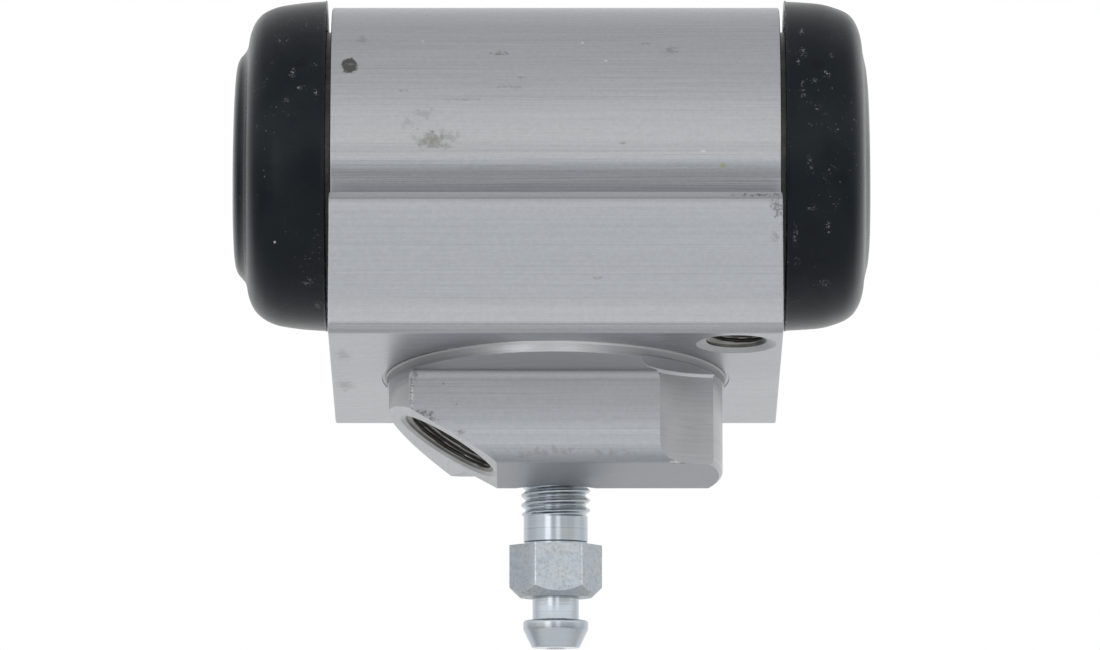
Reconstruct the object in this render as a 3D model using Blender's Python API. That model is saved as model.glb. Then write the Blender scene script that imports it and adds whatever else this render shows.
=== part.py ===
# Drum brake wheel cylinder: one extruded aluminium body, two opposed pistons and a bleed screw.
# Metres, +Z up. The mounting face is the plane Z = 0 and the origin is the centre of its spigot.
# The bore runs along X, the shoes bear on the pistons at -X and +X, and -Y is the inlet side.

import math

import bmesh
import bpy
from mathutils import Matrix, Vector

# Driving dimensions: body
BODY_LENGTH = 0.0450
AXIS_HEIGHT = 0.0220
BARREL_RADIUS = 0.0160
BORE_RADIUS = 0.01032
FOOT_DEPTH = 0.0430
FOOT_HEIGHT = 0.0144
FOOT_CHAMFER = 0.0009
FOOT_ROUND = 0.0011
COLLAR_WALL = 0.0032
COLLAR_LENGTH = 0.0048
GROOVE_DEPTH = 0.0011
GROOVE_WIDTH = 0.0020
GROOVE_SETBACK = 0.0012

# Driving dimensions: spigot and stem below the mounting face
SPIGOT_RADIUS = 0.0169
SPIGOT_HEIGHT = 0.0010
STEM_UNDERCUT = 0.00015
STEM_DROP = 0.0100
STEM_FRONT = 0.0081
STEM_FILLET = 0.0006
STEM_NOSE_ROUND = 0.0019
STEM_END_ROUND = 0.0013
STEM_FLAT_REAR = 0.00575
STEM_STEP_RUN = 0.0009
STEM_BACK = 0.0136

# Driving dimensions: inlet port, mounting hole and the drillings
PORT_ANGLE = math.radians(31.0)
PORT_X = -0.0108
PORT_Y = -0.0007
PORT_Z = -0.00705
PORT_RADIUS = 0.0051
PORT_CONE_RADIUS = 0.0056
PORT_DEPTH = 0.0110
PORT_PASSAGE_RADIUS = 0.0015
BOLT_X = 0.0179
BOLT_Y = -0.0157
BOLT_HOLE_RADIUS = 0.0029
BOLT_HOLE_DEPTH = 0.0110
BOLT_CONE_RADIUS = 0.0040
BOLT_RELIEF_RADIUS = 0.0109
DRILL_POINT = math.radians(59.0)

# Driving dimensions: bleed screw
BLEED_TILT = math.radians(7.5)
BLEED_Y = 0.0097
BLEED_FACE_DROP = 0.0076
BLEED_THREAD_RADIUS = 0.0035
BLEED_BURIED = 0.0085
BLEED_NOSE_RADIUS = 0.0012
BLEED_NOSE_LENGTH = 0.0022
BLEED_THREAD_EXPOSED = 0.0045
BLEED_SHANK_RADIUS = 0.00325
BLEED_SHANK_LENGTH = 0.0028
BLEED_HEX_FLATS = 0.0082
BLEED_HEX_LENGTH = 0.0053
BLEED_HEX_FACE_SETBACK = 0.0003
BLEED_HEX_SLOPE = math.radians(36.0)
BLEED_NECK_RADIUS = 0.00235
BLEED_NECK_LENGTH = 0.0023
BLEED_BARB_RADIUS = 0.0033
BLEED_BARB_LENGTH = 0.00275
BLEED_BARB_BEVEL = 0.0003
BLEED_BARB_LAND = 0.0005
BLEED_TIP_RADIUS = 0.0023
BLEED_DRILL_RADIUS = 0.0009
BLEED_DRILL_STOP = 0.0026
BLEED_PASSAGE_RADIUS = 0.0010

# Driving dimensions: dust boots, each side's centre pushed out by its own piston
BOOT_RADIUS = 0.0167
BOOT_STANDOFF = 0.0005
BOOT_DEPTH = 0.0081
BOOT_WALL = 0.0019
BOOT_CORNER_RUN = 0.0055
BOOT_CORNER_RISE = 0.0045
BOOT_RIM_BEVEL = 0.0003
BOOT_RING_RADIUS = 0.0113
BOOT_RING_SLOPE = 0.0005
BOOT_RING_RISE_LEFT = 0.0014
BOOT_RING_RISE_RIGHT = 0.0008
BOOT_LIP_WIDTH = 0.0029

# Driving dimensions: pistons, seals and spring
PISTON_LENGTH = 0.0168
PISTON_RECESS = 0.0010
PISTON_TIP_RADIUS = 0.0074
PISTON_TIP_LENGTH = 0.0018
PISTON_NECK_RADIUS = 0.0066
PISTON_BEVEL = 0.0004
SLOT_WIDTH = 0.0052
SLOT_DEPTH = 0.0048
CUP_LENGTH = 0.0055
CUP_BASE = 0.0022
CUP_LIP_ROOT = 0.0022
CUP_LIP_TIP = 0.0009
EXPANDER_SHEET = 0.0005
EXPANDER_LENGTH = 0.0026
SPRING_WIRE = 0.0010
SPRING_TURNS = 6
SPRING_END_PITCH = 0.00135
SPRING_SIDE_GAP = 0.0009

# Clearances
FIT_GAP = 0.0003
SEAT_GAP = 0.0003
THREAD_GAP = 0.0003

# Smoothness of round shapes
ROUND_STEPS = 56
BARREL_STEPS = 40
BOOT_STEPS = 44
BOOT_CORNER_STEPS = 7
BOOT_INNER_STEPS = 3
SCREW_STEPS = 48
SMALL_STEPS = 28
DRILL_STEPS = 16
ARC_STEPS = 5
COIL_STEPS = 14

# Sizes that follow
HALF_LENGTH = BODY_LENGTH / 2
PISTON_RADIUS = BORE_RADIUS - FIT_GAP
COLLAR_RADIUS = BORE_RADIUS + COLLAR_WALL
COLLAR_END = HALF_LENGTH + COLLAR_LENGTH
STEM_RADIUS = SPIGOT_RADIUS - STEM_UNDERCUT
BOOT_RIM = HALF_LENGTH + BOOT_STANDOFF
BOOT_CAP = BOOT_RIM + BOOT_DEPTH
OVERLAP = 0.0020
LEFT = -1
RIGHT = 1


def clear_scene():
    for item in list(bpy.data.objects):
        bpy.data.objects.remove(item, do_unlink=True)


def make_material(name, colour, roughness, metallic):
    material = bpy.data.materials.new(name)
    material.use_nodes = True
    shader = material.node_tree.nodes["Principled BSDF"]
    shader.inputs["Base Color"].default_value = (*colour, 1.0)
    shader.inputs["Roughness"].default_value = roughness
    shader.inputs["Metallic"].default_value = metallic
    return material


def arc(centre, radii, start, stop, steps=ARC_STEPS):
    # Points along an elliptical arc, both ends included.
    points = []
    for step in range(steps + 1):
        angle = start + (stop - start) * step / steps
        across = centre[0] + radii[0] * math.cos(angle)
        up = centre[1] + radii[1] * math.sin(angle)
        points.append((across, up))
    return points


def object_from(bm, name, material=None):
    # The axis points of a turned shape merge into one; the tolerance is far below any feature.
    bmesh.ops.remove_doubles(bm, verts=bm.verts[:], dist=0.000001)
    bmesh.ops.dissolve_degenerate(bm, edges=bm.edges[:], dist=0.0000001)
    bmesh.ops.recalc_face_normals(bm, faces=bm.faces[:])
    mesh = bpy.data.meshes.new(name)
    bm.to_mesh(mesh)
    bm.free()
    mesh.shade_smooth()
    mesh.set_sharp_from_angle(angle=math.radians(30.0))
    item = bpy.data.objects.new(name, mesh)
    bpy.context.scene.collection.objects.link(item)
    if material:
        item.data.materials.append(material)
    return item


def turned(name, outline, material=None, steps=ROUND_STEPS):
    # Spins a section of (along, radius) points about the local X axis.
    # A section that ends on the axis gives a plain solid, a closed one clear of it gives a ring.
    bm = bmesh.new()
    verts = [bm.verts.new((along, 0.0, radius)) for along, radius in outline]
    pairs = list(zip(verts, verts[1:]))
    if min(radius for _, radius in outline) > 0.0:
        pairs.append((verts[-1], verts[0]))
    edges = [bm.edges.new(pair) for pair in pairs]
    bmesh.ops.spin(bm, geom=verts + edges, cent=(0, 0, 0), axis=(1, 0, 0), dvec=(0, 0, 0),
                   angle=2 * math.pi, steps=steps, use_merge=True)
    return object_from(bm, name, material)


def extruded(name, outline, start, end, material=None):
    # Extrudes a closed outline of (y, z) points along X, from start to end.
    bm = bmesh.new()
    verts = [bm.verts.new((start, y, z)) for y, z in outline]
    face = bm.faces.new(verts)
    moved = bmesh.ops.extrude_face_region(bm, geom=[face])
    new_verts = [part for part in moved["geom"] if isinstance(part, bmesh.types.BMVert)]
    bmesh.ops.translate(bm, verts=new_verts, vec=(end - start, 0, 0))
    return object_from(bm, name, material)


def box(name, low, high):
    bm = bmesh.new()
    size = Vector(high) - Vector(low)
    middle = (Vector(high) + Vector(low)) / 2
    place = Matrix.Translation(middle) @ Matrix.Diagonal((*size, 1.0))
    bmesh.ops.create_cube(bm, size=1.0, matrix=place)
    return object_from(bm, name)


def make_tool(item):
    # A cutter or an added lump: it shapes another piece and isn't one itself.
    item.hide_render = True
    item.display_type = "WIRE"
    return item


def combine(item, other, operation):
    modifier = item.modifiers.new(other.name, "BOOLEAN")
    modifier.operation = operation
    modifier.solver = "EXACT"
    modifier.object = make_tool(other)


def combine_all(item, others, operation):
    # One cut or union with several shapes at once, which keeps its long edges exact.
    group = bpy.data.collections.new(item.name + "_" + operation.lower())
    bpy.context.scene.collection.children.link(group)
    for other in others:
        group.objects.link(make_tool(other))
        bpy.context.scene.collection.objects.unlink(other)
    modifier = item.modifiers.new(group.name, "BOOLEAN")
    modifier.operation = operation
    modifier.solver = "EXACT"
    modifier.operand_type = "COLLECTION"
    modifier.collection = group


def point_along(item, start, direction):
    # Puts the item's origin at start and turns its local X axis to the direction.
    item.rotation_mode = "QUATERNION"
    item.rotation_quaternion = Vector((1, 0, 0)).rotation_difference(Vector(direction))
    item.location = start


def port_direction():
    # Into the stem, square to the slanted port face.
    return Vector((math.sin(PORT_ANGLE), 0, math.cos(PORT_ANGLE)))


def bleed_direction():
    # Out of the stem along the bleed screw.
    return Vector((0, math.sin(BLEED_TILT), -math.cos(BLEED_TILT)))


def bleed_base():
    return Vector((0, BLEED_Y, -BLEED_FACE_DROP))


def bleed_face_height(y):
    # Height of the face that is square to the bleed screw, above the mounting plane.
    return -BLEED_FACE_DROP + (y - BLEED_Y) * math.tan(BLEED_TILT)


def drill(name, radius, depth, cone_radius, steps=SMALL_STEPS):
    # A drill from outside the surface at along = 0, with a pointed end and a 45 degree
    # countersink that has the cone radius at the surface.
    outline = [
        (-OVERLAP, 0.0),
        (-OVERLAP, cone_radius + OVERLAP),
        (cone_radius - radius, radius),
        (depth, radius),
        (depth + radius / math.tan(DRILL_POINT), 0.0),
    ]
    return turned(name, outline, steps=steps)


def body_outline():
    # Barrel and foot in one extruded section, as (y, z) points.
    half = FOOT_DEPTH / 2
    low = FOOT_HEIGHT - AXIS_HEIGHT
    meet = math.asin(low / BARREL_RADIUS)
    barrel = arc((0, AXIS_HEIGHT), (BARREL_RADIUS, BARREL_RADIUS), meet, math.pi - meet, BARREL_STEPS)
    left = [
        (-half + FOOT_CHAMFER, FOOT_HEIGHT),
        (-half, FOOT_HEIGHT - FOOT_CHAMFER),
    ]
    left += arc((-half + FOOT_ROUND, FOOT_ROUND), (FOOT_ROUND, FOOT_ROUND), math.pi, 1.5 * math.pi)
    right = [(-y, z) for y, z in reversed(left)]
    return barrel + left + right


def stem_outline():
    # The stem's section below the foot, as (y, z) points, from the front round to the back.
    front = -STEM_FRONT
    flare = STEM_FILLET + SPIGOT_HEIGHT / 2
    outline = [
        (front - flare, OVERLAP),
        (front - flare, -SPIGOT_HEIGHT / 2),
        (front, -SPIGOT_HEIGHT - STEM_FILLET),
    ]
    nose = (front + STEM_NOSE_ROUND, -STEM_DROP + STEM_NOSE_ROUND)
    outline += arc(nose, (STEM_NOSE_ROUND, STEM_NOSE_ROUND), math.pi, 1.5 * math.pi)
    step_top = STEM_FLAT_REAR + STEM_STEP_RUN
    outline += [
        (STEM_FLAT_REAR, -STEM_DROP),
        (step_top, bleed_face_height(step_top)),
        (STEM_BACK, bleed_face_height(STEM_BACK)),
        (STEM_BACK, OVERLAP),
    ]
    return outline


def stem_turning():
    # The round ends of the stem, turned about the spigot's axis.
    corner = (STEM_DROP - STEM_END_ROUND, STEM_RADIUS - STEM_END_ROUND)
    outline = [(STEM_DROP, 0.0)]
    outline += arc(corner, (STEM_END_ROUND, STEM_END_ROUND), 0, math.pi / 2)
    outline += [(-OVERLAP, STEM_RADIUS), (-OVERLAP, 0.0)]
    return outline


def make_stem():
    stem = turned("stem", stem_turning(), steps=2 * ROUND_STEPS)
    point_along(stem, (0, 0, 0), (0, 0, -1))
    reach = 2 * STEM_RADIUS
    combine(stem, extruded("stem_section", stem_outline(), -reach, reach), "INTERSECT")
    waste = box("port_face_waste", (-reach, -reach, -reach), (0, reach, reach))
    point_along(waste, (PORT_X, PORT_Y, PORT_Z), port_direction())
    combine(stem, waste, "DIFFERENCE")
    relief_outline = [
        (-2 * OVERLAP, 0.0),
        (-2 * OVERLAP, BOLT_RELIEF_RADIUS),
        (2 * STEM_DROP, BOLT_RELIEF_RADIUS),
        (2 * STEM_DROP, 0.0),
    ]
    relief = turned("bolt_relief", relief_outline)
    point_along(relief, (BOLT_X, BOLT_Y, 0), (0, 0, -1))
    combine(stem, relief, "DIFFERENCE")
    return stem


def collar_outline():
    # The barrel's turned ends, each with the groove that the boot's bead sits in.
    groove_end = COLLAR_END - GROOVE_SETBACK
    groove_start = groove_end - GROOVE_WIDTH
    groove_radius = COLLAR_RADIUS - GROOVE_DEPTH
    right = [
        (groove_start, COLLAR_RADIUS),
        (groove_start, groove_radius),
        (groove_end, groove_radius),
        (groove_end, COLLAR_RADIUS),
        (COLLAR_END, COLLAR_RADIUS),
        (COLLAR_END, 0.0),
    ]
    left = [(-along, radius) for along, radius in reversed(right)]
    return left + right


def bleed_hole_depth():
    return BLEED_BURIED + SEAT_GAP


def make_bleed_tool():
    # Threaded hole, then the cone that the screw's nose shuts on, then the passage to the bore.
    depth = bleed_hole_depth()
    radius = BLEED_THREAD_RADIUS + THREAD_GAP
    passage = AXIS_HEIGHT + BLEED_FACE_DROP
    outline = [
        (-2 * OVERLAP, 0.0),
        (-2 * OVERLAP, radius),
        (depth - BLEED_NOSE_LENGTH, radius),
        (depth, BLEED_NOSE_RADIUS + THREAD_GAP),
        (depth, BLEED_PASSAGE_RADIUS),
        (passage, BLEED_PASSAGE_RADIUS),
        (passage, 0.0),
    ]
    tool = turned("bleed_drill", outline, steps=SMALL_STEPS)
    point_along(tool, bleed_base(), -bleed_direction())
    return tool


def make_port_tools():
    # The inlet is drilled and countersunk square to its face, and a passage goes on to the bore.
    port = drill("port_drill", PORT_RADIUS, PORT_DEPTH, PORT_CONE_RADIUS)
    passage_length = (AXIS_HEIGHT - PORT_Z) / math.cos(PORT_ANGLE)
    outline = [
        (0.0, 0.0),
        (0.0, PORT_PASSAGE_RADIUS),
        (passage_length, PORT_PASSAGE_RADIUS),
        (passage_length, 0.0),
    ]
    passage = turned("port_passage", outline, steps=DRILL_STEPS)
    for tool in (port, passage):
        point_along(tool, (PORT_X, PORT_Y, PORT_Z), port_direction())
    return port, passage


def make_body(material):
    body = extruded("cylinder_body", body_outline(), -HALF_LENGTH, HALF_LENGTH, material)
    collar = turned("collar", collar_outline())
    collar.location.z = AXIS_HEIGHT
    spigot_outline = [
        (-OVERLAP, 0.0),
        (-OVERLAP, SPIGOT_RADIUS),
        (SPIGOT_HEIGHT, SPIGOT_RADIUS),
        (SPIGOT_HEIGHT, 0.0),
    ]
    spigot = turned("spigot", spigot_outline, steps=2 * ROUND_STEPS)
    point_along(spigot, (0, 0, 0), (0, 0, -1))
    combine_all(body, [collar, spigot, make_stem()], "UNION")
    bore_reach = COLLAR_END + OVERLAP
    bore_outline = [
        (-bore_reach, 0.0),
        (-bore_reach, BORE_RADIUS),
        (bore_reach, BORE_RADIUS),
        (bore_reach, 0.0),
    ]
    bore = turned("bore", bore_outline)
    bore.location.z = AXIS_HEIGHT
    bolt = drill("bolt_drill", BOLT_HOLE_RADIUS, BOLT_HOLE_DEPTH, BOLT_CONE_RADIUS)
    point_along(bolt, (BOLT_X, BOLT_Y, 0), (0, 0, 1))
    combine_all(body, [bore, bolt, make_bleed_tool(), *make_port_tools()], "DIFFERENCE")
    return body


def screw_outline():
    # The screw as turned, along its own axis: negative inside the body, positive outside.
    shank = BLEED_THREAD_EXPOSED
    head = shank + BLEED_SHANK_LENGTH
    head_end = head + BLEED_HEX_LENGTH
    barb = head_end + BLEED_NECK_LENGTH
    tip = barb + BLEED_BARB_LENGTH
    return [
        (-BLEED_BURIED, 0.0),
        (-BLEED_BURIED, BLEED_NOSE_RADIUS),
        (-BLEED_BURIED + BLEED_NOSE_LENGTH, BLEED_THREAD_RADIUS),
        (shank, BLEED_THREAD_RADIUS),
        (shank, BLEED_SHANK_RADIUS),
        (head + OVERLAP / 2, BLEED_SHANK_RADIUS),
        (head + OVERLAP / 2, BLEED_NECK_RADIUS),
        (barb, BLEED_NECK_RADIUS),
        (barb, BLEED_BARB_RADIUS - BLEED_BARB_BEVEL),
        (barb + BLEED_BARB_BEVEL, BLEED_BARB_RADIUS),
        (barb + BLEED_BARB_BEVEL + BLEED_BARB_LAND, BLEED_BARB_RADIUS),
        (tip, BLEED_TIP_RADIUS),
        (tip, 0.0),
    ]


def make_hexagon():
    # The head, with the corners of its outer end turned off.
    corner = BLEED_HEX_FLATS / math.sqrt(3.0)
    face_radius = BLEED_HEX_FLATS / 2 - BLEED_HEX_FACE_SETBACK
    wide = corner + OVERLAP
    start = BLEED_THREAD_EXPOSED + BLEED_SHANK_LENGTH
    end = start + BLEED_HEX_LENGTH
    points = arc((0, 0), (corner, corner), math.radians(30.0), math.radians(330.0), 5)
    head = extruded("bleed_hexagon", points, start, end + OVERLAP)
    outline = [
        (start - OVERLAP, 0.0),
        (start - OVERLAP, wide),
        (end - (wide - face_radius) * math.tan(BLEED_HEX_SLOPE), wide),
        (end, face_radius),
        (end, 0.0),
    ]
    turning = turned("bleed_hexagon_turning", outline)
    for piece in (head, turning):
        point_along(piece, bleed_base(), bleed_direction())
    combine(head, turning, "INTERSECT")
    return head


def make_bleed_screw(material):
    screw = turned("bleed_screw", screw_outline(), material, steps=SCREW_STEPS)
    point_along(screw, bleed_base(), bleed_direction())
    combine(screw, make_hexagon(), "UNION")
    tip = BLEED_THREAD_EXPOSED + BLEED_SHANK_LENGTH + BLEED_HEX_LENGTH
    tip += BLEED_NECK_LENGTH + BLEED_BARB_LENGTH
    stop = -BLEED_BURIED + BLEED_NOSE_LENGTH + BLEED_DRILL_STOP
    centre_outline = [
        (stop, 0.0),
        (stop, BLEED_DRILL_RADIUS),
        (tip + OVERLAP, BLEED_DRILL_RADIUS),
        (tip + OVERLAP, 0.0),
    ]
    centre_hole = turned("bleed_centre_hole", centre_outline, steps=DRILL_STEPS)
    point_along(centre_hole, bleed_base(), bleed_direction())
    combine(screw, centre_hole, "DIFFERENCE")
    reach = 2 * BLEED_THREAD_RADIUS
    cross_outline = [
        (-reach, 0.0),
        (-reach, BLEED_DRILL_RADIUS),
        (reach, BLEED_DRILL_RADIUS),
        (reach, 0.0),
    ]
    cross_hole = turned("bleed_cross_hole", cross_outline, steps=DRILL_STEPS)
    cross_hole.location = bleed_base() + bleed_direction() * stop
    combine(screw, cross_hole, "DIFFERENCE")
    return screw


def ring_face(side):
    # How far out the boot's raised centre stands; its piston's place follows from it.
    rise = BOOT_RING_RISE_LEFT if side == LEFT else BOOT_RING_RISE_RIGHT
    return BOOT_CAP + rise


def piston_end(side):
    return ring_face(side) - PISTON_RECESS


def piston_neck(side):
    # Start and end of the groove near the piston's outer end that holds the boot's lip.
    end = piston_end(side) - PISTON_TIP_LENGTH
    return end - BOOT_LIP_WIDTH - 2 * FIT_GAP, end


def place_on_bore(item, side):
    # Pieces in the bore are modelled outwards along local +X, and the left ones are turned round.
    item.location = (0, 0, AXIS_HEIGHT)
    item.rotation_euler = (0, 0, 0 if side == RIGHT else math.pi)
    return item


def make_piston(name, side, material):
    end = piston_end(side)
    start = end - PISTON_LENGTH
    neck_start, neck_end = piston_neck(side)
    outline = [
        (start, 0.0),
        (start, PISTON_RADIUS - PISTON_BEVEL),
        (start + PISTON_BEVEL, PISTON_RADIUS),
        (neck_start - PISTON_BEVEL, PISTON_RADIUS),
        (neck_start, PISTON_RADIUS - PISTON_BEVEL),
        (neck_start, PISTON_NECK_RADIUS),
        (neck_end, PISTON_NECK_RADIUS),
        (neck_end, PISTON_TIP_RADIUS),
        (end - PISTON_BEVEL, PISTON_TIP_RADIUS),
        (end, PISTON_TIP_RADIUS - PISTON_BEVEL),
        (end, 0.0),
    ]
    piston = place_on_bore(turned(name, outline, material), side)
    half = SLOT_WIDTH / 2
    low = (end - SLOT_DEPTH, -2 * PISTON_RADIUS, -half)
    high = (end + OVERLAP, 2 * PISTON_RADIUS, half)
    slot = place_on_bore(box(name + "_slot", low, high), side)
    combine(piston, slot, "DIFFERENCE")
    return piston


def cup_back(side):
    return piston_end(side) - PISTON_LENGTH - SEAT_GAP


def cup_inner_radius(depth):
    # Inner radius of the cup's lip at a depth from the floor of the cup towards its edge.
    share = depth / (CUP_LENGTH - CUP_BASE)
    lip = CUP_LIP_ROOT + (CUP_LIP_TIP - CUP_LIP_ROOT) * share
    return PISTON_RADIUS - lip


def make_cup(name, side, material):
    back = cup_back(side)
    floor = back - CUP_BASE
    edge = back - CUP_LENGTH
    outline = [
        (back, 0.0),
        (back, PISTON_RADIUS),
        (edge, PISTON_RADIUS),
        (edge, cup_inner_radius(CUP_LENGTH - CUP_BASE)),
        (floor, cup_inner_radius(0.0)),
        (floor, 0.0),
    ]
    return place_on_bore(turned(name, outline, material), side)


def expander_back(side):
    return cup_back(side) - CUP_BASE - SEAT_GAP


def make_expander(name, side, material):
    # A pressed steel dish that lies inside the cup's lip and carries the spring.
    back = expander_back(side)
    edge = back - EXPANDER_LENGTH
    root_radius = cup_inner_radius(SEAT_GAP) - FIT_GAP
    edge_radius = cup_inner_radius(SEAT_GAP + EXPANDER_LENGTH) - FIT_GAP
    outline = [
        (back, 0.0),
        (back, root_radius),
        (edge, edge_radius),
        (edge, edge_radius - EXPANDER_SHEET),
        (back - EXPANDER_SHEET, root_radius - EXPANDER_SHEET),
        (back - EXPANDER_SHEET, 0.0),
    ]
    return place_on_bore(turned(name, outline, material), side)


def boot_lip(side):
    # Start and end of the lip that the boot holds in its piston's groove.
    start, end = piston_neck(side)
    return start + FIT_GAP, end - FIT_GAP


def make_boot(name, side, material):
    face = ring_face(side)
    shoulder = BOOT_CAP - BOOT_CORNER_RUN
    corner_radius = BOOT_RADIUS - BOOT_CORNER_RISE
    seat_radius = COLLAR_RADIUS + FIT_GAP
    bead_end = COLLAR_END - GROOVE_SETBACK - FIT_GAP
    bead_start = bead_end - GROOVE_WIDTH + 2 * FIT_GAP
    bead_radius = COLLAR_RADIUS - GROOVE_DEPTH + FIT_GAP
    lip_start, lip_end = boot_lip(side)
    lip_radius = PISTON_NECK_RADIUS + FIT_GAP
    opening = PISTON_TIP_RADIUS + FIT_GAP
    web = BOOT_CAP - BOOT_WALL
    outline = [
        (BOOT_RIM, seat_radius),
        (BOOT_RIM, BOOT_RADIUS - BOOT_RIM_BEVEL),
        (BOOT_RIM + BOOT_RIM_BEVEL, BOOT_RADIUS),
    ]
    corner = (shoulder, corner_radius)
    outline += arc(corner, (BOOT_CORNER_RUN, BOOT_CORNER_RISE), math.pi / 2, 0, BOOT_CORNER_STEPS)
    outline += [
        (BOOT_CAP, BOOT_RING_RADIUS + BOOT_RING_SLOPE),
        (face, BOOT_RING_RADIUS),
        (face, opening),
        (lip_end, opening),
        (lip_end, lip_radius),
        (lip_start, lip_radius),
        (lip_start, opening + BOOT_WALL / 2),
        (web, opening + BOOT_WALL),
    ]
    inner_run = BOOT_CORNER_RUN - BOOT_WALL
    inner_rise = BOOT_CORNER_RISE - BOOT_WALL
    outline += arc(corner, (inner_run, inner_rise), 0, math.radians(60.0), BOOT_INNER_STEPS)
    outline += [
        (COLLAR_END + FIT_GAP, seat_radius),
        (bead_end, seat_radius),
        (bead_end, bead_radius),
        (bead_start, bead_radius),
        (bead_start, seat_radius),
    ]
    return place_on_bore(turned(name, outline, material, BOOT_STEPS), side)


def spring_ends():
    # X of the two faces that the spring's end coils rest against.
    faces = []
    for side in (LEFT, RIGHT):
        inner = expander_back(side) - EXPANDER_SHEET - SEAT_GAP
        faces.append(side * inner)
    return faces


def spring_rise(turn):
    # How far along X the wire is at a turn: the first and last turns lie closer together.
    left, right = spring_ends()
    travel = right - left - SPRING_WIRE
    pitch = (travel - 2 * SPRING_END_PITCH) / (SPRING_TURNS - 2)
    if turn <= 1:
        return SPRING_END_PITCH * turn
    if turn >= SPRING_TURNS - 1:
        return travel - SPRING_END_PITCH * (SPRING_TURNS - turn)
    return SPRING_END_PITCH + pitch * (turn - 1)


def make_spring(material):
    left, _ = spring_ends()
    outer = cup_inner_radius(SEAT_GAP) - FIT_GAP - EXPANDER_SHEET - SPRING_SIDE_GAP
    mean = outer - SPRING_WIRE / 2
    curve = bpy.data.curves.new("return_spring", "CURVE")
    curve.dimensions = "3D"
    curve.bevel_depth = SPRING_WIRE / 2
    curve.bevel_resolution = 1
    curve.use_fill_caps = True
    spline = curve.splines.new("POLY")
    count = SPRING_TURNS * COIL_STEPS + 1
    spline.points.add(count - 1)
    for index, point in enumerate(spline.points):
        turn = index / COIL_STEPS
        angle = 2 * math.pi * turn
        along = left + SPRING_WIRE / 2 + spring_rise(turn)
        point.co = (along, mean * math.cos(angle), mean * math.sin(angle), 1.0)
    spring = bpy.data.objects.new("return_spring", curve)
    spring.location.z = AXIS_HEIGHT
    curve.materials.append(material)
    bpy.context.scene.collection.objects.link(spring)
    return spring


def main():
    clear_scene()
    aluminium = make_material("extruded_aluminium", (0.40, 0.41, 0.43), 0.38, 1.0)
    plated = make_material("zinc_plated_steel", (0.55, 0.57, 0.58), 0.25, 1.0)
    anodised = make_material("anodised_aluminium", (0.45, 0.43, 0.38), 0.35, 1.0)
    rubber = make_material("black_rubber", (0.012, 0.012, 0.013), 0.55, 0.0)
    seal_rubber = make_material("seal_rubber", (0.015, 0.015, 0.015), 0.45, 0.0)
    spring_steel = make_material("spring_steel", (0.30, 0.30, 0.31), 0.35, 1.0)
    pressed_steel = make_material("pressed_steel", (0.42, 0.42, 0.42), 0.40, 1.0)
    make_body(aluminium)
    make_bleed_screw(plated)
    for word, side in (("left", LEFT), ("right", RIGHT)):
        make_piston(word + "_piston", side, anodised)
        make_cup(word + "_cup_seal", side, seal_rubber)
        make_expander(word + "_cup_expander", side, pressed_steel)
        make_boot(word + "_dust_boot", side, rubber)
    make_spring(spring_steel)


main()
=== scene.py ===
import math

import bmesh
import bpy
from mathutils import Matrix, Vector, noise


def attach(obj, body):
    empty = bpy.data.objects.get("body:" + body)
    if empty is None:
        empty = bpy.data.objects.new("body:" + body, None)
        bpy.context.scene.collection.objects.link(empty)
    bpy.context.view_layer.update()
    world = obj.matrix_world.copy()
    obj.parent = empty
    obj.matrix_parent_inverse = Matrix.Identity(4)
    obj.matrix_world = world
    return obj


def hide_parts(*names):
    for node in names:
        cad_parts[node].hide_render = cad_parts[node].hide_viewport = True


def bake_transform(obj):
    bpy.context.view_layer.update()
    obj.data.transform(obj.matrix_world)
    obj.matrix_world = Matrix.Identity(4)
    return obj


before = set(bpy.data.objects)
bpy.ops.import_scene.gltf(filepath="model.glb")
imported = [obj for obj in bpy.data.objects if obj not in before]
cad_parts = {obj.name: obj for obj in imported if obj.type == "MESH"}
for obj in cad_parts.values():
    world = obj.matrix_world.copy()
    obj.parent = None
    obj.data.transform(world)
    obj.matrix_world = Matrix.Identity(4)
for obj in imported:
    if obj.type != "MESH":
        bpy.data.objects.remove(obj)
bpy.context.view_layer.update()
print("frame loaded:", len(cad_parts), "nodes")

boreHeight = 22.0
up, down = (0, 0, 1), (0, 0, -1)
sideWords = {-1: "left", 1: "right"}


# small tools for meshes

def arcPoints(centre, radii, startAngle, endAngle, steps):
    points = []
    for step in range(steps + 1):
        angle = math.radians(startAngle + (endAngle - startAngle) * step / steps)
        points.append((centre[0] + radii[0] * math.cos(angle), centre[1] + radii[1] * math.sin(angle)))
    return points


def smoothLine(points, perSpan):
    # a soft curve through every point, for moulded outlines
    padded = [Vector(point) for point in [points[0], *points, points[-1]]]
    line = []
    for a, b, c, d in zip(padded, padded[1:], padded[2:], padded[3:]):
        for step in range(perSpan):
            t = step / perSpan
            bend = (2 * a - 5 * b + 4 * c - d) * t * t + (3 * b - a - 3 * c + d) * t ** 3
            line.append(tuple(0.5 * (2 * b + (c - a) * t + bend)))
    return line + [points[-1]]


def spun(outline, steps, material=0, closed=False):
    # turns (along X, radius) points about the X axis
    bm = bmesh.new()
    verts = [bm.verts.new((along, 0, radius)) for along, radius in outline]
    pairs = list(zip(verts, verts[1:]))
    if closed:
        pairs.append((verts[-1], verts[0]))
    edges = [bm.edges.new(pair) for pair in pairs]
    bmesh.ops.spin(bm, geom=verts + edges, cent=(0, 0, 0), axis=(1, 0, 0), dvec=(0, 0, 0),
                   angle=2 * math.pi, steps=steps, use_merge=True)
    bmesh.ops.remove_doubles(bm, verts=bm.verts[:], dist=0.0005)
    bmesh.ops.recalc_face_normals(bm, faces=bm.faces[:])
    for face in bm.faces:
        face.material_index = material
    return bm


def plainTool(rows, steps, material):
    return spun([(rows[0][0], 0.0), *rows, (rows[-1][0], 0.0)], steps, material)


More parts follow.
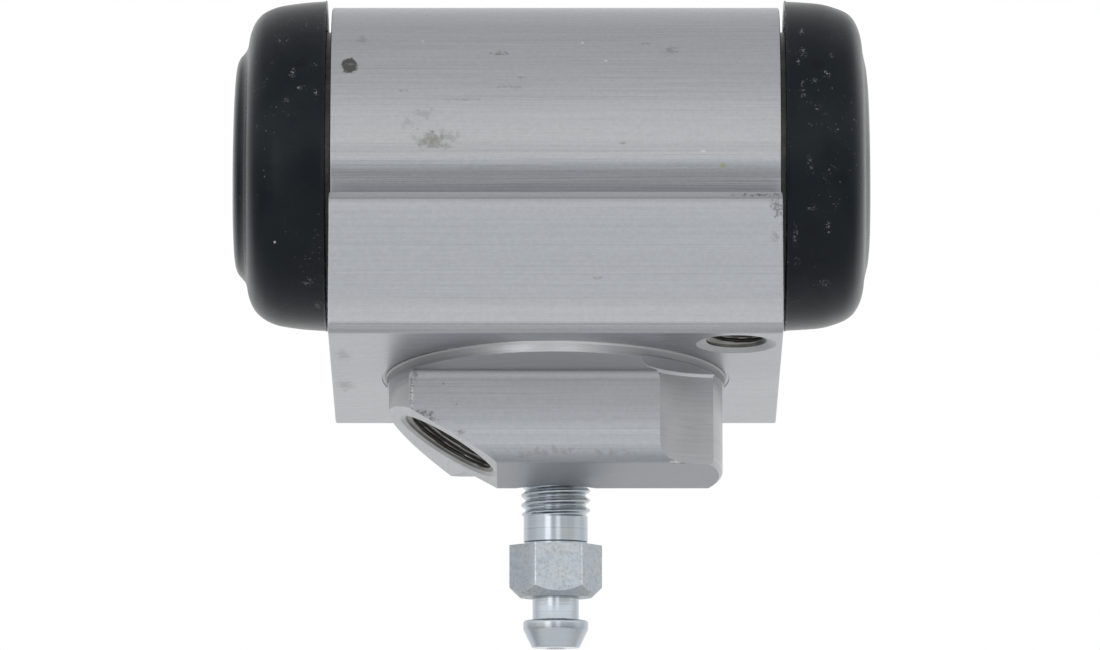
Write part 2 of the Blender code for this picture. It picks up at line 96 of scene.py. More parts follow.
def drawn(outline, start, end, material=0, endBevel=0.0, endMaterial=None):
    # pulls a closed (y, z) outline along X, with its two rims eased
    bm = bmesh.new()
    bm.faces.new([bm.verts.new((start, y, z)) for y, z in outline])
    pulled = bmesh.ops.extrude_face_region(bm, geom=bm.faces[:])
    far = [part for part in pulled["geom"] if isinstance(part, bmesh.types.BMVert)]
    bmesh.ops.translate(bm, verts=far, vec=(end - start, 0, 0))
    bmesh.ops.recalc_face_normals(bm, faces=bm.faces[:])
    for face in bm.faces:
        face.material_index = material
        if endMaterial is not None and abs(face.normal.x) > 0.9:
            face.material_index = endMaterial
    if endBevel:
        rims = [edge for edge in bm.edges if abs(edge.verts[0].co.x - edge.verts[1].co.x) < 0.001]
        bmesh.ops.bevel(bm, geom=rims, offset=endBevel, affect="EDGES", segments=2, profile=0.5, material=-1)
    return bm


def turnTo(direction):
    return Vector((1, 0, 0)).rotation_difference(Vector(direction)).to_matrix().to_4x4()


def moved(bm, matrix):
    bmesh.ops.transform(bm, matrix=matrix, verts=bm.verts[:])
    return bm


def pointAlong(bm, start, direction):
    # a shape drawn along +X is set at start and turned to the direction
    return moved(bm, Matrix.Translation(start) @ turnTo(direction))


def ontoBore(side):
    # lifts a shape drawn about the X axis to the bore, and turns it round for the left side
    return Matrix.Translation((0, 0, boreHeight)) @ Matrix.Rotation(0.0 if side > 0 else math.pi, 4, "Z")


def setRadius(vert, wanted):
    share = wanted / math.hypot(vert.co.y, vert.co.z)
    vert.co.y *= share
    vert.co.z *= share


def cutThread(bm, start, end, pitch, root, crest, phase=0.0, fadeStart=0.0, fadeEnd=0.0, runOut=None):
    # moves closely spun rows in and out along a right-hand helix
    target = root if runOut is None else runOut
    for vert in bm.verts:
        along, y, z = vert.co
        if along < start or along > end or math.hypot(y, z) < root * 0.8:
            continue
        turn = (along / pitch - math.atan2(z, y) / (2 * math.pi) + phase) % 1.0
        height = 0.5 - 0.5 * math.cos(2 * math.pi * turn)
        low, high = root, crest
        if fadeStart and along < start + fadeStart:
            high = low + (high - low) * (along - start) / fadeStart
        if fadeEnd and along > end - fadeEnd:
            share = (end - along) / fadeEnd
            low = target + (low - target) * share
            high = target + (high - target) * share
        setRadius(vert, low + (high - low) * height)


def meshObject(bm, name, materials):
    mesh = bpy.data.meshes.new(name)
    bm.to_mesh(mesh)
    bm.free()
    for material in materials:
        mesh.materials.append(material)
    item = bpy.data.objects.new(name, mesh)
    bpy.context.scene.collection.objects.link(item)
    return item


def bakeModifiers(item):
    bpy.context.view_layer.update()
    ready = item.evaluated_get(bpy.context.evaluated_depsgraph_get())
    mesh = bpy.data.meshes.new_from_object(ready)
    item.modifiers.clear()
    item.data = mesh
    return item


def combine(item, shapes, operation):
    # one exact boolean with all the shapes together; a shape that is still a bmesh gets the item's finishes
    group = bpy.data.collections.new(item.name + "Tools")
    bpy.context.scene.collection.children.link(group)
    tools = []
    for shape in shapes:
        if isinstance(shape, bmesh.types.BMesh):
            shape = meshObject(shape, item.name + "Tool", item.data.materials)
        tools.append(shape)
        group.objects.link(shape)
    modifier = item.modifiers.new("combine", "BOOLEAN")
    modifier.operation = operation
    modifier.solver = "EXACT"
    modifier.operand_type = "COLLECTION"
    modifier.collection = group
    bakeModifiers(item)
    for tool in tools:
        bpy.data.objects.remove(tool, do_unlink=True)
    bpy.data.collections.remove(group)
    return item


def finishPiece(item, sharpAngle=32.0):
    # metres, smooth shading, sharp edges kept, no modifier that changes the shape
    item.data.transform(Matrix.Scale(0.001, 4))
    item.data.shade_smooth()
    item.data.set_sharp_from_angle(angle=math.radians(sharpAngle))
    even = item.modifiers.new("evenShading", "WEIGHTED_NORMAL")
    even.keep_sharp = True
    return item


# small tools for materials

def rgba(colour):
    return (*colour, 1.0)


def metres(values):
    return [value * 0.001 for value in values]


def place(tree, kind, inputs, **settings):
    new = tree.nodes.new(kind)
    for key, value in settings.items():
        setattr(new, key, value)
    for key, value in inputs.items():
        if isinstance(value, bpy.types.NodeSocket):
            tree.links.new(value, new.inputs[key])
        else:
            new.inputs[key].default_value = value
    return new


def maths(tree, operation, first, second=0.0, third=0.0, clamp=False):
    inputs = {0: first, 1: second, 2: third}
    return place(tree, "ShaderNodeMath", inputs, operation=operation, use_clamp=clamp).outputs[0]


def times(tree, first, second):
    return maths(tree, "MULTIPLY", first, second)


def vectorMaths(tree, operation, first, second=(0, 0, 0), scale=1.0):
    new = place(tree, "ShaderNodeVectorMath", {0: first, 1: second, 3: scale}, operation=operation)
    return new.outputs["Value" if operation == "LENGTH" else "Vector"]


def splitVector(tree, vector):
    return place(tree, "ShaderNodeSeparateXYZ", {0: vector}).outputs


def joinVector(tree, x, y, z):
    return place(tree, "ShaderNodeCombineXYZ", {0: x, 1: y, 2: z}).outputs[0]


def noiseTexture(tree, vector, scale, detail=2.0, roughness=0.5):
    inputs = {"Vector": vector, "Scale": scale, "Detail": detail, "Roughness": roughness}
    return place(tree, "ShaderNodeTexNoise", inputs).outputs[0]


def blendColours(tree, factor, first, second, mode="MIX"):
    new = place(tree, "ShaderNodeMix", {0: factor, 6: first, 7: second}, data_type="RGBA", blend_type=mode)
    return new.outputs[2]


def spread(tree, value, fromLow, fromHigh, toLow=0.0, toHigh=1.0):
    inputs = {0: value, 1: fromLow, 2: fromHigh, 3: toLow, 4: toHigh}
    return place(tree, "ShaderNodeMapRange", inputs, interpolation_type="SMOOTHSTEP").outputs[0]


def ramp(tree, value, stops):
    new = place(tree, "ShaderNodeValToRGB", {0: value})
    elements = new.color_ramp.elements
    while len(elements) > 1:
        elements.remove(elements[-1])
    for index, (position, colour) in enumerate(stops):
        element = elements[0] if index == 0 else elements.new(position)
        element.position = position
        if not isinstance(colour, tuple):
            colour = (colour, colour, colour)
        element.color = rgba(colour)
    return new.outputs[0]


def shade(tree, coordinates, axis, colour, tones):
    # paints light and shade along one axis; tones: millimetres along the axis, how light, and if given how
    # blue
    along = splitVector(tree, coordinates)[axis]
    low, high = tones[0][0], tones[-1][0]
    share = place(tree, "ShaderNodeMapRange", {0: along, 1: low * 0.001, 2: high * 0.001}).outputs[0]
    stops = []
    for position, value, *blue in tones:
        cold = blue[0] if blue else 0.0
        stops.append(((position - low) / (high - low), (value * (1.0 - cold), value, value * (1.0 + cold))))
    return blendColours(tree, 1.0, colour, ramp(tree, share, stops), "MULTIPLY")


def newGroup(name, inputs, outputs):
    # inputs: each name with its number, or with None for a vector; the outputs are numbers
    tree = bpy.data.node_groups.new(name, "ShaderNodeTree")
    for label, value in inputs.items():
        kind = "NodeSocketVector" if value is None else "NodeSocketFloat"
        socket = tree.interface.new_socket(label, in_out="INPUT", socket_type=kind)
        if value is not None:
            socket.default_value = value
    for label in outputs:
        tree.interface.new_socket(label, in_out="OUTPUT", socket_type="NodeSocketFloat")
    return tree, tree.nodes.new("NodeGroupInput").outputs, tree.nodes.new("NodeGroupOutput").inputs


def useGroup(tree, group, inputs):
    return place(tree, "ShaderNodeGroup", inputs, node_tree=group).outputs


def newMaterial(name, roughness, metallic, specular=0.5):
    material = bpy.data.materials.new(name)
    material.use_nodes = True
    tree = material.node_tree
    shader = tree.nodes["Principled BSDF"]
    shader.inputs["Roughness"].default_value = roughness
    shader.inputs["Metallic"].default_value = metallic
    shader.inputs["Specular IOR Level"].default_value = specular
    coordinates = tree.nodes.new("ShaderNodeTexCoord").outputs["Object"]
    return material, tree, shader, coordinates


def dress(tree, shader, colour, rough=None, height=None, strength=0.0, distance=0.00003):
    # links a finish's colour, roughness and fine relief
    tree.links.new(colour, shader.inputs["Base Color"])
    if rough is not None:
        tree.links.new(rough, shader.inputs["Roughness"])
    if height is not None:
        bump = place(tree, "ShaderNodeBump", {"Strength": strength, "Distance": distance, "Height": height})
        tree.links.new(bump.outputs[0], shader.inputs["Normal"])


# effects that several finishes share

def makeDrawnLines():
    # long fine lines along X, as a drawn or extruded surface has
    tree, given, out = newGroup("drawnLines", {"Vector": None, "Along": 60.0, "Across": 2600.0}, ["Fine"])
    scale = joinVector(tree, given["Along"], given["Across"], given["Across"])
    fine = noiseTexture(tree, vectorMaths(tree, "MULTIPLY", given["Vector"], scale), 1.0, 4.0, 0.6)
    tree.links.new(spread(tree, fine, 0.3, 0.7), out["Fine"])
    return tree


def makeTurnedLines():
    # rings about the Z axis of the vector that is given
    tree, given, out = newGroup("turnedLines", {"Vector": None, "Rings": 5000.0}, ["Lines", "Broad"])
    x, y, z = splitVector(tree, given["Vector"])
    radius = vectorMaths(tree, "LENGTH", joinVector(tree, x, y, 0.0))
    swing = times(tree, maths(tree, "SINE", maths(tree, "ARCTAN2", y, x)), 0.00002)
    stretched = vectorMaths(tree, "SCALE", joinVector(tree, radius, z, swing), scale=given["Rings"])
    for label, scale, detail, roughness in (("Lines", 1.0, 3.0, 0.65), ("Broad", 0.13, 2.0, 0.5)):
        rings = noiseTexture(tree, stretched, scale, detail, roughness)
        tree.links.new(spread(tree, rings, 0.3, 0.7), out[label])
    return tree


def makeGrains():
    # small scattered grains or specks of uneven outline, gathered in patches
    inputs = {"Vector": None, "Scale": 3000.0, "Size": 0.2, "Patches": 150.0, "Amount": 0.5, "Warp": 0.0}
    tree, given, out = newGroup("grains", inputs, ["Mask"])
    wave = place(tree, "ShaderNodeTexNoise", {"Vector": given["Vector"], "Scale": given["Scale"]})
    offset = vectorMaths(tree, "SUBTRACT", wave.outputs["Color"], (0.5, 0.5, 0.5))
    pushed = vectorMaths(tree, "SCALE", offset, scale=given["Warp"])
    warped = vectorMaths(tree, "ADD", given["Vector"], pushed)
    cells = place(tree, "ShaderNodeTexVoronoi", {"Vector": warped, "Scale": given["Scale"]})
    spots = maths(tree, "LESS_THAN", cells.outputs["Distance"], given["Size"])
    chosen = place(tree, "ShaderNodeSeparateColor", {0: cells.outputs["Color"]}).outputs
    patches = noiseTexture(tree, given["Vector"], given["Patches"], 3.0, 0.65)
    limit = times(tree, spread(tree, patches, 0.45, 0.75), given["Amount"])
    kept = maths(tree, "LESS_THAN", chosen[0], limit)
    tree.links.new(times(tree, times(tree, spots, kept), chosen[1]), out["Mask"])
    return tree


def makeScuff():
    # one mark with a ragged outline, with its centre and three half sizes in metres
    inputs = {"Vector": None, "Centre": None, "Half Sizes": None, "Ragged": 0.6, "Detail Scale": 2500.0}
    tree, given, out = newGroup("scuff", inputs, ["Mask"])
    offset = vectorMaths(tree, "SUBTRACT", given["Vector"], given["Centre"])
    distance = vectorMaths(tree, "LENGTH", vectorMaths(tree, "DIVIDE", offset, given["Half Sizes"]))
    grain = noiseTexture(tree, given["Vector"], given["Detail Scale"], 5.0, 0.65)
    wave = times(tree, maths(tree, "SUBTRACT", grain, 0.5), given["Ragged"])
    edge = maths(tree, "ADD", distance, times(tree, wave, 4.0))
    tree.links.new(spread(tree, edge, 0.25, 1.15, 1.0, 0.0), out["Mask"])
    return tree


drawnLines = makeDrawnLines()
turnedLines = makeTurnedLines()
grains = makeGrains()
scuff = makeScuff()


def linesAlong(tree, coordinates, along, across):
    return useGroup(tree, drawnLines, {"Vector": coordinates, "Along": along, "Across": across})[0]


def ringsAbout(tree, coordinates, centre, direction, rings):
    # turning marks about an axis in metres: the fine ones, then the broad ones
    turn = Vector((0, 0, 1)).rotation_difference(Vector(direction)).to_euler()
    inputs = {"Vector": coordinates, "Location": centre, "Rotation": turn}
    centred = place(tree, "ShaderNodeMapping", inputs, vector_type="TEXTURE").outputs[0]
    made = useGroup(tree, turnedLines, {"Vector": centred, "Rings": rings})
    return made["Lines"], made["Broad"]


def grainMask(tree, coordinates, scale, size, patches, amount):
    inputs = {"Vector": coordinates, "Scale": scale, "Size": size, "Patches": patches, "Amount": amount,
              "Warp": 0.0004}
    return useGroup(tree, grains, inputs)[0]


def scuffMask(tree, coordinates, centre, halves, ragged, detail):
    inputs = {"Vector": coordinates, "Centre": metres(centre), "Half Sizes": metres(halves),
              "Ragged": ragged, "Detail Scale": detail}
    return useGroup(tree, scuff, inputs)[0]


def addMarks(tree, coordinates, colour, marks):
    # marks: centre and half sizes in millimetres, ragged, detail, colour, strength
    for centre, halves, ragged, detail, tint, strength in marks:
        mask = scuffMask(tree, coordinates, centre, halves, ragged, detail)
        colour = blendColours(tree, times(tree, mask, strength), colour, rgba(tint))
    return colour


# body finishes

bodyFinish = {
    "skin": (0.445, 0.455, 0.475),
    "skinDark": (0.365, 0.373, 0.39),
    # drawn lines: how dense along the bore and across it; what the fine ones, wide ones and clouds count
    "fineLines": (60.0, 7500.0),
    "wideLines": (8.0, 2400.0),
    "streakLines": (10.0, 5600.0),
    "cloudScale": 2400.0,
    "skinShares": (0.48, 0.2, 0.32),
    "skinBump": 0.16,
    "streak": (0.2, 0.205, 0.21),
    "turned": (0.47, 0.478, 0.49),
    "turnedDark": (0.42, 0.427, 0.435),
    "turnedRings": 5200.0,
    "turnedBump": 0.22,
    "milled": (0.41, 0.418, 0.43),
    "milledDark": (0.35, 0.357, 0.365),
    "millingScale": (260.0, 260.0, 6200.0),
    "millingPatches": 300.0,
    "milledBump": 0.25,
    "thread": (0.32, 0.32, 0.31),
    "threadDark": (0.12, 0.116, 0.106),
    "stainsAndShadeScale": 900.0,
    "shade": (0.14, 0.138, 0.128),
    "shadeDark": (0.045, 0.042, 0.036),
    "skinRoughness": 0.31,
    "stemRoughness": 0.47,
    "turnedRoughness": 0.32,
    "milledRoughness": 0.42,
    "threadRoughness": 0.35,
    "dirt": (0.06, 0.055, 0.045),
    "rust": (0.13, 0.075, 0.05),
    # bright nicks and burrs: bare metal, partly a painted glint
    "bareMetalAndGlint": (0.75, 0.75, 0.74),
    # height in millimetres, how light the painted reflection and shade make the skin there, how blue
    "bodyPaintedShading": [
        (-1.0, 0.94, 0.022), (0.05, 0.94, 0.022), (0.2, 0.83, 0.01), (0.6, 0.97, 0.0), (2.4, 0.96, 0.0),
        (3.6, 0.87, 0.012), (11.0, 0.865, 0.014), (13.05, 0.91, 0.01), (13.35, 0.75, 0.01), (13.5, 0.8, 0.01),
        (13.7, 0.97, 0.01), (14.1, 1.1, 0.01), (14.4, 1.24, 0.005), (15.6, 0.95, 0.0), (16.4, 0.89, 0.0),
        (16.7, 0.96, 0.003), (17.0, 0.9, 0.008), (17.3, 0.8, 0.012), (17.6, 0.73, 0.015), (17.9, 0.8, 0.016),
        (18.5, 0.96, 0.018), (19.1, 1.09, 0.01), (19.4, 1.1, -0.003), (19.7, 0.94, -0.012),
        (20.0, 0.97, -0.014), (20.3, 0.935, -0.014), (20.9, 0.985, -0.014), (22.0, 0.925, -0.014),
        (24.0, 0.985, -0.01), (30.0, 1.0, 0.0), (36.0, 1.0, 0.008),
    ],
    # the stem's skin: painted reflection and shade by height, in the same way
    "stemPaintedShading": [
        (-11.0, 0.8, 0.024), (-9.8, 0.8, 0.024), (-9.6, 0.84, 0.022), (-9.3, 0.93, 0.02), (-9.0, 1.02, 0.016),
        (-8.7, 1.07, 0.015), (-7.6, 1.12, 0.012), (-7.0, 1.17, 0.014), (-5.8, 1.03, 0.01), (-4.0, 1.0, 0.006),
        (-2.9, 1.1, 0.004), (-2.0, 1.13, 0.004), (-1.6, 1.06, 0.004), (-1.25, 0.9, 0.004),
        (-1.0, 0.85, 0.004),
    ],
    # depths between which the painted shading fades out towards the back
    "bodyFade": (-4.0, 4.0),
    "stemFade": (5.0, 7.0),
    # height, how light the painted shading makes the milled faces, with a painted highlight band about 1 mm
    # below the mounting face
    "milledPaintedShading": [
        (-10.0, 0.95), (-6.0, 0.95), (-3.5, 1.04), (-1.6, 1.16), (-1.25, 1.2), (-1.15, 1.5), (-0.92, 1.5),
        (-0.88, 1.0), (0.0, 1.0),
    ],
    # the port's face: painted light, evenly lighter and bluer than the other milled faces
    "portPaintedLight": [(-11.0, 1.16, 0.012), (0.0, 1.16, 0.012)],
    # along X, how light the painted reflection and shade make the turned faces on the stem's ends and round
    # the spigot
    "stemEndPaintedShading": [(-17.0, 0.74), (-13.0, 0.76), (-11.0, 1.0), (12.0, 1.0), (14.0, 0.88), (17.0, 0.88)],
    "spigotPaintedShading": [
        (-17.0, 0.5), (-13.0, 0.58), (-9.0, 0.68), (-5.5, 0.84), (-3.0, 1.12), (0.0, 1.2), (4.0, 1.15),
        (6.0, 0.95), (9.0, 0.74), (13.5, 0.6), (17.0, 0.55),
    ],
}
bodyFinish["bodyMarks"] = [
    # a dent drawn as painted shade: a dark spot, with a paler streak through it
    ((-20.6, -14.4, 28.9), (0.86, 1.7, 0.9), 0.5, 900.0, (0.10, 0.10, 0.095), 3.0),
    ((-20.3, -14.4, 29.0), (0.7, 1.2, 0.14), 1.4, 2400.0, (0.30, 0.30, 0.29), 0.35),
    ((-12.5, -15.9, 20.9), (1.7, 2.2, 1.0), 1.2, 900.0, (0.28, 0.285, 0.28), 0.8),
    ((-12.3, -15.9, 20.7), (1.1, 2.2, 0.8), 1.5, 1900.0, (0.17, 0.165, 0.15), 0.55),
    ((-13.1, -15.9, 23.5), (0.8, 2.2, 0.8), 1.4, 1500.0, (0.27, 0.28, 0.29), 0.5),
    ((-14.6, -15.9, 22.5), (1.0, 2.2, 0.4), 1.5, 1800.0, (0.26, 0.27, 0.28), 0.5),
    ((-10.6, -15.9, 21.2), (1.1, 2.2, 0.5), 1.6, 2000.0, (0.24, 0.24, 0.23), 0.5),
    ((-19.4, -12.5, 32.0), (0.5, 1.2, 0.6), 1.2, 2000.0, (0.26, 0.26, 0.25), 0.5),
    ((-15.0, -15.2, 26.0), (0.9, 1.2, 0.14), 1.3, 2600.0, (0.24, 0.24, 0.23), 0.5),
    ((-9.5, -15.7, 25.0), (2.6, 1.2, 0.10), 1.3, 1600.0, (0.26, 0.26, 0.26), 0.5),
    ((-4.6, -15.2, 26.4), (1.6, 1.2, 0.14), 1.4, 2000.0, (0.26, 0.265, 0.28), 0.45),
    ((-5.6, -13.6, 30.3), (0.9, 1.2, 0.25), 1.3, 2600.0, (0.20, 0.195, 0.17), 0.6),
    ((11.4, -13.4, 30.6), (0.7, 1.2, 0.5), 1.4, 3000.0, (0.22, 0.22, 0.22), 0.5),
    # bright nicks: bare metal with a painted glint
    ((2.7, -12.8, 31.6), (0.16, 0.8, 0.16), 0.6, 3000.0, bodyFinish["bareMetalAndGlint"], 0.9),
    ((5.0, -14.1, 29.4), (0.2, 0.8, 0.14), 0.9, 3000.0, bodyFinish["bareMetalAndGlint"], 0.6),
    ((-13.3, -12.6, 31.8), (0.22, 0.8, 0.12), 0.9, 3000.0, bodyFinish["bareMetalAndGlint"], 0.55),
    ((14.7, -15.7, 19.7), (0.35, 0.8, 0.2), 0.9, 3000.0, (0.62, 0.63, 0.65), 0.5),
    ((6.6, -15.9, 20.5), (0.4, 0.8, 0.14), 0.9, 3000.0, (0.17, 0.165, 0.14), 0.5),
    ((16.6, -15.6, 18.3), (0.34, 0.8, 0.26), 0.5, 3000.0, (0.30, 0.29, 0.10), 0.7),
    ((20.3, -21.5, 14.0), (2.3, 0.9, 0.22), 1.4, 2600.0, bodyFinish["dirt"], 0.65),
    ((21.9, -21.5, 12.6), (0.55, 0.9, 0.9), 1.5, 3200.0, bodyFinish["dirt"], 0.55),
    ((21.7, -21.5, 9.6), (0.35, 0.6, 0.5), 1.2, 3200.0, (0.2, 0.2, 0.19), 0.5),
    ((4.2, -21.5, 5.4), (0.5, 0.6, 0.16), 0.9, 3200.0, (0.17, 0.17, 0.16), 0.5),
    ((-3.5, -15.4, 27.5), (0.5, 1.4, 0.15), 1.0, 3200.0, (0.17, 0.17, 0.16), 0.4),
    ((9.0, -13.0, 31.5), (0.9, 1.6, 0.12), 1.0, 3200.0, (0.17, 0.17, 0.16), 0.35),
    ((-21.2, -11.0, 0.0), (0.8, 2.6, 0.5), 1.3, 2000.0, (0.14, 0.135, 0.12), 0.5),
    ((-21.2, 2.8, 0.0), (0.9, 2.4, 0.5), 1.3, 2000.0, (0.14, 0.135, 0.12), 0.5),
]
bodyFinish["stemMarks"] = [
    # the burr between the turned end and the front: rust dots, and bare metal with a painted glint
    ((-14.35, -8.1, -3.0), (0.16, 0.5, 2.1), 0.7, 4200.0, bodyFinish["rust"], 0.8),
    ((-14.32, -8.1, -3.2), (0.12, 0.5, 1.7), 1.4, 5200.0, bodyFinish["bareMetalAndGlint"], 0.9),
    ((-14.0, -8.1, -1.3), (0.35, 0.5, 0.7), 0.9, 2600.0, (0.15, 0.15, 0.15), 0.6),
    ((-13.2, -8.1, -5.3), (0.9, 0.5, 0.4), 1.2, 3000.0, bodyFinish["dirt"], 0.55),
    ((-12.3, -8.1, -5.9), (0.5, 0.5, 0.35), 1.2, 3000.0, bodyFinish["dirt"], 0.55),
    ((-9.6, -8.1, -7.2), (0.5, 0.5, 0.22), 1.2, 3000.0, bodyFinish["dirt"], 0.45),
    ((-11.2, -8.1, -2.3), (0.13, 0.4, 0.1), 0.3, 3000.0, bodyFinish["rust"], 0.7),
    ((-9.9, -8.1, -4.4), (0.16, 0.4, 0.1), 0.4, 3000.0, bodyFinish["rust"], 0.6),
    # a burr at the nose's corner: dirt, and bare metal with a painted glint
    ((12.5, -6.3, -10.0), (0.9, 0.45, 0.4), 1.2, 3600.0, bodyFinish["dirt"], 0.85),
    ((12.1, -6.5, -9.9), (0.6, 0.4, 0.35), 1.5, 5200.0, bodyFinish["bareMetalAndGlint"], 0.8),
    ((-2.0, -7.3, -9.1), (3.4, 0.9, 0.35), 1.6, 1200.0, (0.26, 0.265, 0.26), 0.4),
    ((4.6, -7.2, -9.2), (2.6, 0.9, 0.3), 1.6, 1500.0, (0.26, 0.265, 0.26), 0.4),
]


def makeSkinMetal(name, roughness, tones, fade, marks):
    material, tree, shader, coordinates = newMaterial(name, roughness, 1.0)
    fine = linesAlong(tree, coordinates, *bodyFinish["fineLines"])
    wide = linesAlong(tree, coordinates, *bodyFinish["wideLines"])
    cloud = spread(tree, noiseTexture(tree, coordinates, bodyFinish["cloudScale"], 4.0, 0.7), 0.35, 0.65)
    fineShare, wideShare, cloudShare = bodyFinish["skinShares"]
    mixed = maths(tree, "MULTIPLY_ADD", wide, wideShare, times(tree, fine, fineShare))
    mixed = maths(tree, "MULTIPLY_ADD", cloud, cloudShare, mixed)
    colour = blendColours(tree, mixed, rgba(bodyFinish["skinDark"]), rgba(bodyFinish["skin"]))
    # the painted reflection and shade stand for what the front reflects, so the back goes without them
    front = spread(tree, splitVector(tree, coordinates)[1], *metres(fade), 1.0, 0.0)
    colour = blendColours(tree, front, colour, shade(tree, coordinates, 2, colour, tones))
    # a few long dark streaks left by the die
    streaks = linesAlong(tree, coordinates, *bodyFinish["streakLines"])
    streaks = spread(tree, streaks, 0.84, 1.0, 0.0, 0.24)
    colour = blendColours(tree, streaks, colour, rgba(bodyFinish["streak"]))
    colour = addMarks(tree, coordinates, colour, marks)
    rough = maths(tree, "MULTIPLY_ADD", fine, 0.1, roughness - 0.05)
    dress(tree, shader, colour, rough, fine, bodyFinish["skinBump"])
    return material


def makeTurnedMetal(name, centre, direction, tones=None):
    roughness = bodyFinish["turnedRoughness"]
    material, tree, shader, coordinates = newMaterial(name, roughness, 1.0)
    lines, broad = ringsAbout(tree, coordinates, centre, direction, bodyFinish["turnedRings"])
    colour = blendColours(tree, lines, rgba(bodyFinish["turnedDark"]), rgba(bodyFinish["turned"]))
    if tones:
        colour = shade(tree, coordinates, 0, colour, tones)
    rough = maths(tree, "MULTIPLY_ADD", broad, 0.1, roughness - 0.05)
    dress(tree, shader, colour, rough, lines, bodyFinish["turnedBump"])
    return material


def makeMilledMetal(name, tones):
    material, tree, shader, coordinates = newMaterial(name, bodyFinish["milledRoughness"], 1.0)
    level = place(tree, "ShaderNodeMapping", {"Vector": coordinates, "Scale": bodyFinish["millingScale"]})
    grain = noiseTexture(tree, level.outputs[0], 1.0, 3.0, 0.6)
    patches = noiseTexture(tree, coordinates, bodyFinish["millingPatches"], 4.0)
    mixed = spread(tree, maths(tree, "MULTIPLY_ADD", grain, 0.6, times(tree, patches, 0.5)), 0.35, 0.75)
    colour = blendColours(tree, mixed, rgba(bodyFinish["milledDark"]), rgba(bodyFinish["milled"]))
    colour = shade(tree, coordinates, 2, colour, tones)
    dress(tree, shader, colour, None, grain, bodyFinish["milledBump"], 0.00004)
    return material


def makeThreadMetal(name, dark, light):
    material, tree, shader, coordinates = newMaterial(name, bodyFinish["threadRoughness"], 1.0)
    # blotches: stains on the threads, and uneven depth in the painted shade
    stainsAndShade = noiseTexture(tree, coordinates, bodyFinish["stainsAndShadeScale"], 4.0)
    dress(tree, shader, blendColours(tree, stainsAndShade, rgba(dark), rgba(light)))
    return material


boreAxis = (0, 0, boreHeight * 0.001)
skin, turnedDown, turnedBore, milled, threaded, stemSkin, spigotWall, portPlane, shaded = range(9)
bodyMetals = [
    makeSkinMetal("extrudedAluminium", bodyFinish["skinRoughness"], bodyFinish["bodyPaintedShading"],
                  bodyFinish["bodyFade"], bodyFinish["bodyMarks"]),
    makeTurnedMetal("turnedAluminiumStem", (0, 0, 0), (0, 0, 1), bodyFinish["stemEndPaintedShading"]),
    makeTurnedMetal("turnedAluminiumBore", boreAxis, (1, 0, 0)),
    makeMilledMetal("milledAluminium", bodyFinish["milledPaintedShading"]),
    makeThreadMetal("cutThreadAluminium", bodyFinish["threadDark"], bodyFinish["thread"]),
    makeSkinMetal("extrudedAluminiumStem", bodyFinish["stemRoughness"], bodyFinish["stemPaintedShading"],
                  bodyFinish["stemFade"], bodyFinish["stemMarks"]),
    makeTurnedMetal("turnedAluminiumSpigot", (0, 0, 0), (0, 0, 1), bodyFinish["spigotPaintedShading"]),
    makeMilledMetal("milledAluminiumPort", bodyFinish["portPaintedLight"]),
    # painted shade: a dark finish for the collars beside the boots and deep in the hole mouths
    makeThreadMetal("shadedAluminium", bodyFinish["shadeDark"], bodyFinish["shade"]),
]
print("body finishes made")


# the body

bodySizes = {
    "halfLength": 22.5,
    "endBevel": 0.18,
    "axisHeight": boreHeight,
    "barrelRadius": 16.0,
    "creaseFillet": 0.35,
    "footHalf": 21.5,
    "footHeight": 14.4,
    "footChamfer": 0.9,
    "footRound": 1.1,
    "collarRadius": 13.52,
    "collarEnd": 27.3,
    "grooveRadius": 12.42,
    "grooveStart": 24.1,
    "grooveEnd": 26.1,
    "boreRadius": 10.32,
    "boreChamfer": 0.45,
    "spigotRadius": 16.93,
    "spigotFlare": 0.2,
    "spigotDraft": 0.01,
    "spigotHeight": 1.0,
    "spigotBevel": 0.02,
    "recessRadius": 17.45,
    "recessDepth": 0.10,
    "stemRadius": 16.75,
    "stemDrop": 10.0,
    "stemEndRound": 0.5,
    "stemFront": -8.1,
    "stemFillet": 0.8,
    "stemNoseRound": 1.9,
    "stemFlatRear": 5.75,
    "stemStepTop": (6.65, -8.0015),
    "stemBack": (13.6, -7.0866),
    "reliefCentre": (16.0, -13.4),
    "reliefRadius": 7.7,
    "reliefTop": 0.84,
    "boltCentre": (17.9, -15.7),
    "portPoint": (-10.8, -0.7, -7.05),
    "portAngle": 31.0,
    "portMinor": 4.6,
    "portMajor": 5.08,
    "portMouth": [(0.0, 5.62), (0.3, 5.08), (0.45, 4.62)],
    "portBright": 0.3,
    "portDepth": 11.0,
    "portPhase": 0.5,
    "portPassage": 1.5,
    "boltMinor": 2.55,
    "boltMajor": 3.0,
    "boltMouth": [(0.0, 4.0), (0.32, 3.06), (0.6, 2.6)],
    "boltDepth": 11.0,
    "boltBright": 0.32,
    "boltPhase": 0.2,
    "threadPitch": 1.0,
    "bleedPoint": (0, 9.7, -7.6),
    "bleedTilt": 7.5,
    "bleedHole": 3.62,
    "bleedMouth": 3.95,
    "bleedDepth": 8.8,
}

bleedAngle = math.radians(bodySizes["bleedTilt"])
bleedOutwards = Vector((0, math.sin(bleedAngle), -math.cos(bleedAngle)))
portAngle = math.radians(bodySizes["portAngle"])
portInwards = Vector((math.sin(portAngle), 0, math.cos(portAngle)))


